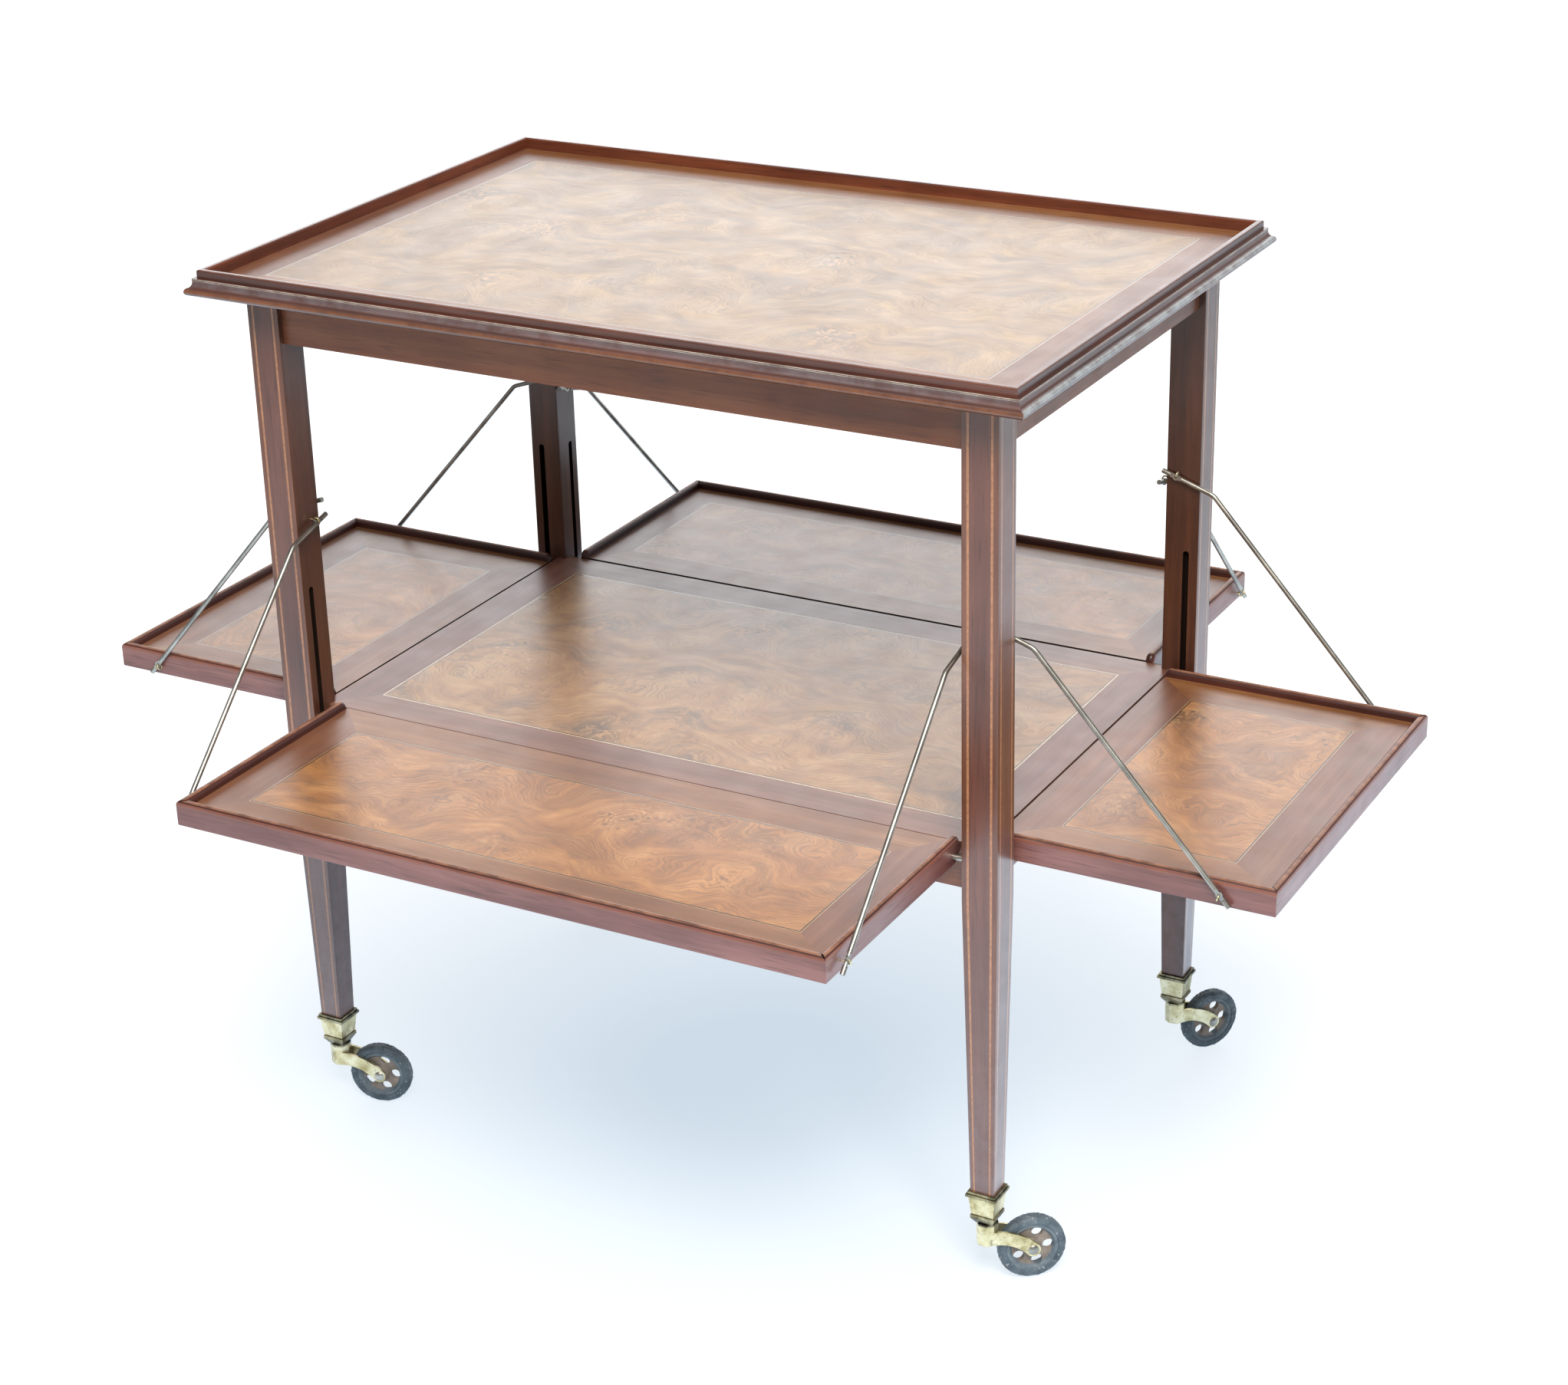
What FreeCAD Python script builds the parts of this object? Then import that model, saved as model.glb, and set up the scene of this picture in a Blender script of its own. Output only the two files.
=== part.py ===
import FreeCAD, Part
import math
import os
from FreeCAD import Vector

# Drop leaf tea trolley: a tray on four legs with a lower shelf, four leaves that fold out round the shelf
# on wire stays, and four castors. Millimetres, X along the trolley, front at -Y, Z up, origin on the floor
# under the middle. The leaves are modelled folded out. Each side is built facing -Y and turned into place.

# Whole trolley
trolley_height = 784.5
tray_length = 745.0
tray_depth = 501.0

# Tray moulding, counted inward from its outer edge and down from the lip's top
moulding_height = 20.6
moulding_width = 14.0
lip_width = 5.5
lip_rise = 10.0
lip_round = 1.5
ledge_drop = 6.6
ledge_width = 3.1
fillet_height = 1.6
bead_height = 6.6
cove_depth = 0.9

# Legs
leg_span_length = 675.0
leg_span_depth = 431.0
leg_size = 30.5
foot_size = 21.0
foot_height = 89.0
outer_taper = 3.8

# Aprons under the tray
apron_height = 43.5
apron_thickness = 14.0
apron_setback = 6.0

# Shelf and its rails
shelf_height = 392.0
shelf_thickness = 13.0
rail_height = 25.0
rail_thickness = 11.2

# Tenons of aprons and rails
tenon_length = 10.0
tenon_thickness = 7.0
apron_tenon_height = 30.0
rail_tenon_height = 10.0

# Glue blocks under the tray
block_size = 12.0
block_length = 60.0
block_shares = (-0.3, 0.3)

# Leaves; the long ones are at the front and back
long_leaf_reach = 211.0
short_leaf_reach = 222.0
long_leaf_side_gap = 11.5
short_leaf_side_gap = 7.0
leaf_tail = 11.0
leaf_joint_gap = 1.0
leaf_rest_gap = 0.3
leaf_lip_width = 7.6
leaf_lip_rise = 7.0
leaf_lip_drop = 2.3
leaf_lip_foot_gap = 0.6
leaf_lip_slant_run = 6.0
leaf_edge_round = 1.2
leaf_lip_end_round = 6.0

# Pivot pins and their grooves in the legs
pin_diameter = 4.8
pin_drop = 7.8
pin_bury = 20.0
pin_end_gap = 0.5
pin_fit = 0.05
groove_setback = 11.0
groove_clearance = 0.4
groove_depth = 7.0
groove_travel = 118.0

# Wire stays
stay_diameter = 4.2
stay_upper_length = 36.0
stay_lower_length = 231.0
stay_upper_tail = 13.0
stay_lower_tail = 12.0
stay_bend_radius = 12.0
stay_flat_thickness = 1.8
stay_flat_length = 10.0
stay_eye_radius = 3.0
stay_hole_diameter = 2.2
stay_bend_angle = 29.5

# Screw eyes
eye_wire = 1.4
eye_ring_radius = 2.4
eye_shank_length = 9.0
eye_fit = 0.05
eye_leaf_gap = 0.3
leg_eye_inset = 9.5
long_leg_eye_rise = 176.8
short_leg_eye_rise = 187.8
leaf_eye_rise = 3.8
leg_eye_angle = -110.0
leaf_eye_angle = 70.0

# Castor cups
flange_upper_size = 24.6
flange_lower_size = 27.0
flange_step_height = 2.3
cup_top_size = 23.4
cup_bottom_size = 19.4
cup_body_height = 18.0
cup_ridge_size = 21.0
cup_ridge_height = 3.0
cup_under_size = 14.0
cup_under_height = 5.4
cup_floor = 5.0
cup_fit = 0.05
spigot_size = 15.6
spigot_length = 22.0

# Castor stems, forks, axles and wheels
stem_diameter = 7.0
stem_head_diameter = 11.0
stem_head_height = 2.0
stem_running_gap = 0.08
swivel_gap = 0.3
fork_block_size = 17.0
fork_block_sides = 8
fork_block_height = 20.0
arm_thickness = 2.3
arm_root_height = 12.5
arm_end_radius = 6.0
arm_crown_shares = (0.6, 0.8)
arm_belly_shares = (0.5, 0.3)
arm_end_angle = 50.0
castor_trail = 37.0
wheel_diameter = 58.0
tyre_width = 11.0
tread_width = 5.0
shoulder_fullness_share = 0.5
tyre_wall = 7.6
rim_step = 0.9
rim_inner_diameter = 38.4
web_thickness = 4.4
web_slope = 2.0
hub_diameter = 12.0
hub_side_gap = 0.3
wheel_hole_diameter = 9.6
wheel_hole_circle = 27.4
wheel_hole_count = 5
axle_diameter = 5.0
axle_head_diameter = 9.0
axle_head_height = 1.8
axle_fit = 0.02
axle_running_gap = 0.08
castor_headings = {"front_left": 17.0, "front_right": 39.0, "back_left": 28.0, "back_right": 55.0}

# One overrun serves all cuts
overrun = 5.0

# Heights and distances that follow
leg_top = trolley_height - moulding_height
tray_thickness = moulding_height - lip_rise
shelf_underside = shelf_height - shelf_thickness
rail_bottom = shelf_underside - rail_height
pin_height = shelf_height - pin_drop
leaf_underside = shelf_underside + leaf_rest_gap
lip_setback = moulding_width - lip_width
rail_setback = leg_size - rail_thickness
cup_height = 2 * flange_step_height + cup_body_height + cup_ridge_height + cup_under_height
cup_bottom = foot_height - cup_height
spigot_bottom = foot_height - spigot_length
wheel_radius = wheel_diameter / 2
castor_x = leg_span_length / 2 - outer_taper - foot_size / 2
castor_y = leg_span_depth / 2 - outer_taper - foot_size / 2
corners = {"front_left": (-1, -1), "front_right": (1, -1), "back_left": (-1, 1), "back_right": (1, 1)}


class Side:
    """One side of the trolley, described as if it faced -Y: u is outward, v along the side."""

    def __init__(self, name, turn, face, leg_inner, reach, side_gap, leg_eye_rise):
        self.name = name
        self.turn = turn
        self.face = face
        self.leg_inner = leg_inner
        self.is_long = leg_inner == inner_x
        self.pin_u = face - groove_setback
        self.leaf_inner = self.pin_u - leaf_tail
        self.leaf_outer = self.pin_u + reach
        self.leaf_half = leg_inner - side_gap
        self.stay_v = leg_inner - side_gap / 2
        self.side_gap = side_gap
        self.leg_eye_u = self.pin_u - leg_eye_inset
        self.leg_eye_z = pin_height + leg_eye_rise
        self.leaf_eye_z = pin_height + leaf_eye_rise
        drop = self.leg_eye_z - self.leaf_eye_z
        self.leaf_eye_u = self.leg_eye_u + math.sqrt(stay_chord ** 2 - drop ** 2)
        self.chord_angle = -math.degrees(math.asin(drop / stay_chord))

    def place(self, shape):
        """The shape turned from the front to this side."""
        copy = shape.copy()
        copy.rotate(Vector(), Vector(0, 0, 1), self.turn)
        return copy

    def closing(self):
        """Rise of the pins in millimetres and turn of the stays in degrees when the leaf hangs upright."""
        across = leg_eye_inset + leaf_eye_rise
        down = math.sqrt(stay_chord ** 2 - across ** 2)
        rise = self.leg_eye_z - pin_height + self.leaf_eye_u - self.pin_u - down
        closed_angle = -math.degrees(math.atan2(down, across))
        return rise, self.chord_angle - closed_angle


bend = math.radians(stay_bend_angle)
stay_along = stay_upper_length + stay_lower_length * math.cos(bend)
stay_across = stay_lower_length * math.sin(bend)
stay_chord = math.hypot(stay_along, stay_across)
stay_lead_angle = math.degrees(math.atan2(stay_across, stay_along))
half_span_x = leg_span_length / 2
half_span_y = leg_span_depth / 2
inner_x = half_span_x - leg_size
inner_y = half_span_y - leg_size
sides = [
    Side("front", 0, half_span_y, inner_x, long_leaf_reach, long_leaf_side_gap, long_leg_eye_rise),
    Side("right", 90, half_span_x, inner_y, short_leaf_reach, short_leaf_side_gap, short_leg_eye_rise),
    Side("back", 180, half_span_y, inner_x, long_leaf_reach, long_leaf_side_gap, long_leg_eye_rise),
    Side("left", 270, half_span_x, inner_y, short_leaf_reach, short_leaf_side_gap, short_leg_eye_rise),
]


# Plain shapes

def box(x_range, y_range, z_range):
    """Block between three pairs of limits."""
    sizes = [high - low for low, high in (x_range, y_range, z_range)]
    return Part.makeBox(*sizes, Vector(x_range[0], y_range[0], z_range[0]))


def outline(start, *steps):
    """Closed face: each step is a point for a straight run, or a pair of points for an arc."""
    edges = []
    here = start
    for step in steps:
        if isinstance(step, tuple):
            edges.append(Part.Arc(here, *step).toShape())
            here = step[-1]
        else:
            edges.append(Part.makeLine(here, step))
            here = step
    return Part.Face(Part.Wire(edges))


def on_circle(centre, radius, degrees):
    """Point on a circle that faces along X, the angle counted from +Y towards +Z."""
    angle = math.radians(degrees)
    return centre + Vector(0, math.cos(angle), math.sin(angle)) * radius


def arc_step(centre, radius, first, last):
    """Arc step of an outline from one angle to another."""
    return (on_circle(centre, radius, (first + last) / 2), on_circle(centre, radius, last))


def square(size, x, y, z):
    """Square wire, level, round the point x, y."""
    half = size / 2
    signs = ((-1, -1), (1, -1), (1, 1), (-1, 1), (-1, -1))
    return Part.makePolygon([Vector(x + half * a, y + half * b, z) for a, b in signs])


def frustum(lower, upper):
    """Solid between two squares, each given as size, x, y, z."""
    return Part.makeLoft([square(*lower), square(*upper)], True, True)


def upright(diameter, z_range):
    """Round bar on the Z axis."""
    return Part.makeCylinder(diameter / 2, z_range[1] - z_range[0], Vector(0, 0, z_range[0]))


def crossbar(diameter, x_range, y, z):
    """Round bar along X."""
    return Part.makeCylinder(diameter / 2, x_range[1] - x_range[0], Vector(x_range[0], y, z), Vector(1, 0, 0))


def mirrored(shape):
    """The shape and its mirror image across the middle of the side."""
    return [shape, shape.mirror(Vector(), Vector(1, 0, 0))]


def strip(section, x_range, outer, width, mitres):
    """Section at y = -outer run along X, each end cut square (0) or as a mitre (1)."""
    run = section.copy()
    run.translate(Vector(x_range[0], 0, 0))
    run = run.extrude(Vector(x_range[1] - x_range[0], 0, 0))
    bounds = run.BoundBox
    low = bounds.ZMin - overrun
    plan = Part.makePolygon([
        Vector(x_range[0], -outer, low),
        Vector(x_range[1], -outer, low),
        Vector(x_range[1] - width * mitres[1], width - outer, low),
        Vector(x_range[0] + width * mitres[0], width - outer, low),
        Vector(x_range[0], -outer, low),
    ])
    return run.common(Part.Face(plan).extrude(Vector(0, 0, bounds.ZLength + 2 * overrun)))


# Tray

def moulding_section(outer):
    """Tray moulding: bead, cove, fillet, ledge and raised lip."""
    def point(inward, drop):
        return Vector(0, inward - outer, trolley_height - drop)

    bead_radius = bead_height / 2
    bead_centre = point(bead_radius, moulding_height - bead_radius)
    cove_low = point(bead_radius, moulding_height - bead_height)
    cove_high = point(lip_setback - ledge_width, ledge_drop + fillet_height)
    rise = cove_high - cove_low
    cove_middle = (cove_low + cove_high) * 0.5 + Vector(0, rise.z, -rise.y).normalize() * cove_depth
    inner_centre = point(moulding_width - lip_round, lip_round)
    outer_centre = point(lip_setback + lip_round, lip_round)
    start = point(moulding_width, moulding_height)
    return outline(
        start,
        point(bead_radius, moulding_height),
        arc_step(bead_centre, bead_radius, 270, 90),
        (cove_middle, cove_high),
        point(lip_setback - ledge_width, ledge_drop),
        point(lip_setback, ledge_drop),
        point(lip_setback, lip_round),
        arc_step(outer_centre, lip_round, 180, 90),
        point(moulding_width - lip_round, 0),
        arc_step(inner_centre, lip_round, 90, 0),
        start,
    )


def tray_moulding(length, depth):
    """One mitred side of the tray's frame."""
    outer = depth / 2
    return strip(moulding_section(outer), (-length / 2, length / 2), outer, moulding_width, (1, 1))


def tray_board():
    """Veneered board inside the mouldings."""
    half_length = tray_length / 2 - moulding_width
    half_depth = tray_depth / 2 - moulding_width
    return box((-half_length, half_length), (-half_depth, half_depth), (leg_top, leg_top + tray_thickness))


def glue_blocks(side):
    """Blocks in the corner between an apron and the tray board."""
    outer = side.face - apron_setback - apron_thickness
    blocks = []
    for share in block_shares:
        middle = 2 * side.leg_inner * share
        x_range = (middle - block_length / 2, middle + block_length / 2)
        blocks.append(box(x_range, (-outer, block_size - outer), (leg_top - block_size, leg_top)))
    return blocks


# Legs, aprons and shelf

def rail(side, setback, thickness, z_range, tenon_range):
    """Board between two legs, with a tenon at each end."""
    outer = side.face - setback
    middle = outer - thickness / 2
    board = box((-side.leg_inner, side.leg_inner), (-outer, thickness - outer), z_range)
    reach = side.leg_inner + tenon_length
    half = tenon_thickness / 2
    return board.fuse(box((-reach, reach), (-middle - half, half - middle), tenon_range)).removeSplitter()


def apron(side):
    """Apron under the tray, its tenons at mid height."""
    low = leg_top - apron_height
    tenon_low = low + (apron_height - apron_tenon_height) / 2
    tenon_range = (tenon_low, tenon_low + apron_tenon_height)
    return rail(side, apron_setback, apron_thickness, (low, leg_top), tenon_range)


def shelf_rail(side):
    """Rail under the shelf; tenons of long and short rails pass over each other in the leg."""
    margin = (rail_height / 2 - rail_tenon_height) / 2
    tenon_low = rail_bottom + margin + (rail_height / 2 if side.is_long else 0)
    tenon_range = (tenon_low, tenon_low + rail_tenon_height)
    return rail(side, rail_setback, rail_thickness, (rail_bottom, shelf_underside), tenon_range)


def leg_blank(sign_x, sign_y):
    """Square leg, tapered below the shelf, with the foot that enters the castor cup."""
    x = sign_x * (half_span_x - leg_size / 2)
    y = sign_y * (half_span_y - leg_size / 2)
    foot_x = sign_x * castor_x
    foot_y = sign_y * castor_y
    top = frustum((leg_size, x, y, rail_bottom), (leg_size, x, y, leg_top))
    taper = frustum((foot_size, foot_x, foot_y, foot_height), (leg_size, x, y, rail_bottom))
    spigot = frustum((spigot_size, foot_x, foot_y, spigot_bottom), (foot_size, foot_x, foot_y, foot_height))
    return top.fuse([taper, spigot]).removeSplitter()


def pin_groove(side):
    """Upright groove for a pivot pin in a leg's inner face."""
    width = pin_diameter + 2 * groove_clearance
    x_range = (side.leg_inner - overrun, side.leg_inner + groove_depth)
    ends = (pin_height, pin_height + groove_travel)
    slot = box(x_range, (-side.pin_u - width / 2, width / 2 - side.pin_u), ends)
    return slot.fuse([crossbar(width, x_range, -side.pin_u, z) for z in ends])


def shelf_panel(legs):
    """Shelf board, notched round the legs."""
    half_length = half_span_x - groove_setback - leaf_tail - leaf_joint_gap
    half_depth = half_span_y - groove_setback - leaf_tail - leaf_joint_gap
    board = box((-half_length, half_length), (-half_depth, half_depth), (shelf_underside, shelf_height))
    return board.cut(legs)


# Leaves

def leaf_lip_section(outer):
    """Leaf edge strip: a rounded lip above the panel, and a foot that hides the panel's lower edge."""
    half = leaf_lip_width / 2
    top = shelf_height + leaf_lip_rise
    bottom = leaf_underside - leaf_lip_drop
    lip_centre = Vector(0, half - outer, top - half)
    edge_centre = Vector(0, leaf_edge_round - outer, bottom + leaf_edge_round)
    start = Vector(0, leaf_lip_width - outer, bottom)
    return outline(
        start,
        Vector(0, leaf_edge_round - outer, bottom),
        arc_step(edge_centre, leaf_edge_round, 270, 180),
        Vector(0, -outer, top - half),
        arc_step(lip_centre, half, 180, 0),
        start,
    )


def pin_bores(side):
    """Bores for the two pivot pins, from the leaf's ends inward."""
    x_range = (side.leaf_half - pin_bury, side.leaf_half + overrun)
    return mirrored(crossbar(pin_diameter + 2 * pin_fit, x_range, -side.pin_u, pin_height))


def leaf_panel(side):
    """Veneered leaf board inside its lips."""
    half = side.leaf_half - leaf_lip_width
    y_range = (leaf_lip_width - side.leaf_outer, -side.leaf_inner)
    return box((-half, half), y_range, (leaf_underside, shelf_height)).cut(pin_bores(side))


def leaf_lips(side):
    """Edge strips on the three free sides of a leaf, mitred at the outer corners."""
    half = side.leaf_half
    front = strip(leaf_lip_section(side.leaf_outer), (-half, half), side.leaf_outer, leaf_lip_width, (1, 1))
    end = strip(leaf_lip_section(half), (-side.leaf_outer, -side.leaf_inner), half, leaf_lip_width, (1, 0))
    end.rotate(Vector(), Vector(0, 0, 1), 90)
    cutters = pin_bores(side) + [lip_end_cutter(side), lip_foot_cutter(side)]
    return [front] + [piece.cut(cutters) for piece in mirrored(end)]


def lip_end_cutter(side):
    """Corner that is rounded off the inner ends of a leaf's lips, along the whole leaf."""
    x_range = (-side.leaf_half - overrun, side.leaf_half + overrun)
    top = shelf_height + leaf_lip_rise
    centre_y = -side.leaf_inner - leaf_lip_end_round
    centre_z = top - leaf_lip_end_round
    corner = box(x_range, (centre_y, overrun - side.leaf_inner), (centre_z, top + overrun))
    return corner.cut(crossbar(2 * leaf_lip_end_round, x_range, centre_y, centre_z))


def lip_foot_cutter(side):
    """Slanted room for the shelf's rail under the inner ends of a leaf's lips."""
    x_start = -side.leaf_half - overrun
    y_clear = rail_setback - side.face - leaf_lip_foot_gap
    y_start = y_clear - 2 * leaf_lip_slant_run
    y_end = overrun - side.leaf_inner
    z_start = leaf_underside - 2 * leaf_lip_drop
    z_end = leaf_underside + leaf_lip_drop / leaf_lip_slant_run * (y_end - y_clear)
    corners = ((y_start, z_start), (y_end, z_end), (y_end, z_start), (y_start, z_start))
    wedge = Part.Face(Part.makePolygon([Vector(x_start, y, z) for y, z in corners]))
    return wedge.extrude(Vector(-2 * x_start, 0, 0))


def pivot_pins(side):
    """Two pins that stand out of the leaf's ends into the leg grooves."""
    x_range = (side.leaf_half - pin_bury, side.leg_inner + groove_depth - pin_end_gap)
    return mirrored(crossbar(pin_diameter, x_range, -side.pin_u, pin_height))


# Stays and screw eyes

def side_direction(degrees):
    """Unit vector in a plane across the side, the angle counted from outward towards up."""
    angle = math.radians(degrees)
    return Vector(0, -math.cos(angle), math.sin(angle))


def stay(side):
    """Bent wire stay, flattened and pierced near both ends."""
    upper_angle = side.chord_angle + stay_lead_angle
    lower_angle = upper_angle - stay_bend_angle
    upper_way = side_direction(upper_angle)
    lower_way = side_direction(lower_angle)
    upper_eye = Vector(side.stay_v, -side.leg_eye_u, side.leg_eye_z)
    lower_eye = Vector(side.stay_v, -side.leaf_eye_u, side.leaf_eye_z)
    knee = upper_eye + upper_way * stay_upper_length
    trim = stay_bend_radius * math.tan(bend / 2)
    arc_start = knee - upper_way * trim
    arc_end = knee + lower_way * trim
    knee_in = (lower_way - upper_way).normalize()
    arc_middle = knee + knee_in * stay_bend_radius * (1 / math.cos(bend / 2) - 1)
    start = upper_eye - upper_way * stay_upper_tail
    end = lower_eye + lower_way * stay_lower_tail
    path = Part.Wire([
        Part.makeLine(start, arc_start),
        Part.Arc(arc_start, arc_middle, arc_end).toShape(),
        Part.makeLine(arc_end, end),
    ])
    ring = Part.Wire([Part.makeCircle(stay_diameter / 2, start, upper_way)])
    rod = path.makePipeShell([ring], True, False)
    for eye, angle in ((upper_eye, upper_angle), (lower_eye, lower_angle)):
        rod = rod.cut(flats(eye, angle))
        face = eye - Vector(stay_flat_thickness / 2, 0, 0)
        plate = Part.makeCylinder(stay_eye_radius, stay_flat_thickness, face, Vector(1, 0, 0))
        hole = crossbar(stay_hole_diameter, (eye.x - overrun, eye.x + overrun), eye.y, eye.z)
        rod = rod.fuse(plate).cut(hole)
    return rod.removeSplitter()


def flats(eye, angle):
    """Cutters that flatten a stay on both sides of its eye."""
    cutters = []
    y_range = (eye.y - stay_flat_length / 2, eye.y + stay_flat_length / 2)
    z_range = (eye.z - stay_diameter, eye.z + stay_diameter)
    near = stay_flat_thickness / 2
    for x_range in ((near, near + stay_diameter), (-near - stay_diameter, -near)):
        cutter = box((eye.x + x_range[0], eye.x + x_range[1]), y_range, z_range)
        cutter.rotate(eye, Vector(1, 0, 0), -angle)
        cutters.append(cutter)
    return cutters


def screw_eye(hook, angle, shank_x):
    """Ring through the point hook, which lies on its side at the given angle, with a shank along X."""
    way = side_direction(angle)
    centre = hook - way * eye_ring_radius
    ring = Part.makeTorus(eye_ring_radius, eye_wire / 2, centre, Vector(1, 0, 0).cross(way))
    sign = 1 if shank_x > hook.x else -1
    ends = sorted((centre.x + sign * eye_ring_radius, shank_x))
    return ring.fuse(crossbar(eye_wire, ends, centre.y, centre.z)).removeSplitter()


def leg_eye(side):
    """Screw eye in the leg, which carries the stay's upper end."""
    hook = Vector(side.stay_v, -side.leg_eye_u, side.leg_eye_z)
    return screw_eye(hook, leg_eye_angle, side.leg_inner + eye_shank_length)


def leg_eye_hole(side):
    """Pilot hole of that screw eye in the leg."""
    way = side_direction(leg_eye_angle)
    centre = Vector(side.stay_v, -side.leg_eye_u, side.leg_eye_z) - way * eye_ring_radius
    x_range = (side.leg_inner - overrun, side.leg_inner + eye_shank_length + eye_fit)
    return crossbar(eye_wire + 2 * eye_fit, x_range, centre.y, centre.z)


def leaf_eye(side):
    """Screw eye at the stay's lower end, against the leaf's side."""
    hook = Vector(side.stay_v, -side.leaf_eye_u, side.leaf_eye_z)
    return screw_eye(hook, leaf_eye_angle, side.leaf_half + eye_leaf_gap)


# Castors, built on the Z axis and trailing towards +X

def castor_cup():
    """Square tapered cup with a stepped flange, a ridge and a drawn-in foot."""
    outer = None
    top = foot_height
    steps = [
        (flange_upper_size, flange_upper_size, flange_step_height),
        (flange_lower_size, flange_lower_size, flange_step_height),
        (cup_top_size, cup_bottom_size, cup_body_height),
        (cup_ridge_size, cup_ridge_size, cup_ridge_height),
        (cup_ridge_size, cup_under_size, cup_under_height),
    ]
    for upper_size, lower_size, height in steps:
        piece = frustum((lower_size, 0, 0, top - height), (upper_size, 0, 0, top))
        outer = piece if outer is None else outer.fuse(piece)
        top -= height
    spigot = (spigot_size + 2 * cup_fit, 0, 0, spigot_bottom)
    socket = frustum(spigot, (foot_size + 2 * cup_fit, 0, 0, foot_height))
    head_room = upright(stem_head_diameter + 2 * swivel_gap, (cup_bottom + cup_floor, spigot_bottom))
    bore = upright(stem_diameter + 2 * stem_running_gap, (cup_bottom - overrun, spigot_bottom))
    return outer.cut([socket, head_room, bore]).removeSplitter()


def castor_stem():
    """Headed pin that turns in the cup's floor and is riveted into the fork."""
    seat = cup_bottom + cup_floor + swivel_gap
    shank = upright(stem_diameter, (cup_bottom - swivel_gap - fork_block_height, seat))
    return shank.fuse(upright(stem_head_diameter, (seat, seat + stem_head_height))).removeSplitter()


def axle_bar(diameter, half_length):
    """Round bar on the wheel's axis."""
    base = Vector(castor_trail, -half_length, wheel_radius)
    return Part.makeCylinder(diameter / 2, 2 * half_length, base, Vector(0, 1, 0))


def castor_fork():
    """Many-sided block with two curved arms to the axle."""
    block_top = cup_bottom - swivel_gap
    block_bottom = block_top - fork_block_height
    half_step = math.pi / fork_block_sides
    corner = fork_block_size / 2 / math.cos(half_step)
    points = []
    for step in range(fork_block_sides + 1):
        angle = (2 * step + 1) * half_step
        points.append(Vector(corner * math.cos(angle), corner * math.sin(angle), block_bottom))
    block = Part.Face(Part.makePolygon(points)).extrude(Vector(0, 0, fork_block_height))
    fork = block.fuse(fork_arms(block_bottom))
    stem_bore = upright(stem_diameter + 2 * axle_fit, (block_bottom - overrun, block_top + overrun))
    axle_bore = axle_bar(axle_diameter + 2 * axle_fit, fork_block_size / 2 + overrun)
    return fork.cut([stem_bore, axle_bore]).removeSplitter()


def fork_arms(root_bottom):
    """Pair of arms, arched over and narrowing to a round end at the axle."""
    root_top = root_bottom + arm_root_height
    outer = fork_block_size / 2

    def point(along, z):
        return Vector(along, -outer, z)

    def end(degrees):
        angle = math.radians(degrees)
        reach = arm_end_radius
        return point(castor_trail + reach * math.cos(angle), wheel_radius + reach * math.sin(angle))

    start = point(0, root_top)
    crown_rise = (root_top - wheel_radius) * arm_crown_shares[1]
    crown = point(castor_trail * arm_crown_shares[0], wheel_radius + crown_rise)
    belly_drop = (root_bottom - wheel_radius) * arm_belly_shares[1]
    belly = point(castor_trail * arm_belly_shares[0], root_bottom - belly_drop)
    face = outline(
        start,
        (crown, end(arm_end_angle)),
        (end(arm_end_angle - 90), end(arm_end_angle - 180)),
        (belly, point(0, root_bottom)),
        start,
    )
    arm = face.extrude(Vector(0, arm_thickness, 0))
    return [arm, arm.mirror(Vector(), Vector(0, 1, 0))]


def castor_wheel():
    """Disc wheel: round-shouldered tyre, stepped rim, dished web with holes, and a hub."""
    hub_half = fork_block_size / 2 - arm_thickness - hub_side_gap
    hub_radius = hub_diameter / 2
    tyre_half = tyre_width / 2
    rim_half = tyre_half - rim_step
    rim_radius = rim_inner_diameter / 2
    tyre_inner = wheel_radius - tyre_wall
    bore = axle_diameter / 2 + axle_running_gap
    web_half = web_thickness / 2

    def point(radius, aside):
        return Vector(castor_trail, aside, wheel_radius + radius)

    shoulder_start = point(tyre_inner + rim_step, tyre_half)
    shoulder_end = point(wheel_radius, tread_width / 2)
    chord_middle = (shoulder_start + shoulder_end) * 0.5
    shoulder_middle = chord_middle + (point(wheel_radius, tyre_half) - chord_middle) * shoulder_fullness_share
    start = point(bore, 0)
    half_face = outline(
        start,
        point(bore, hub_half),
        point(hub_radius, hub_half),
        point(hub_radius + web_slope, web_half),
        point(rim_radius - web_slope, web_half),
        point(rim_radius, rim_half),
        point(tyre_inner, rim_half),
        shoulder_start,
        (shoulder_middle, shoulder_end),
        point(wheel_radius, 0),
        start,
    )
    half_wheel = half_face.revolve(point(0, 0), Vector(0, 1, 0), 360)
    wheel = half_wheel.fuse(half_wheel.mirror(Vector(), Vector(0, 1, 0))).removeSplitter()
    holes = []
    for step in range(wheel_hole_count):
        hole = axle_bar(wheel_hole_diameter, tyre_half)
        hole.translate(Vector(wheel_hole_circle / 2, 0, 0))
        hole.rotate(point(0, 0), Vector(0, 1, 0), 360 * step / wheel_hole_count)
        holes.append(hole)
    return wheel.cut(holes)


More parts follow.
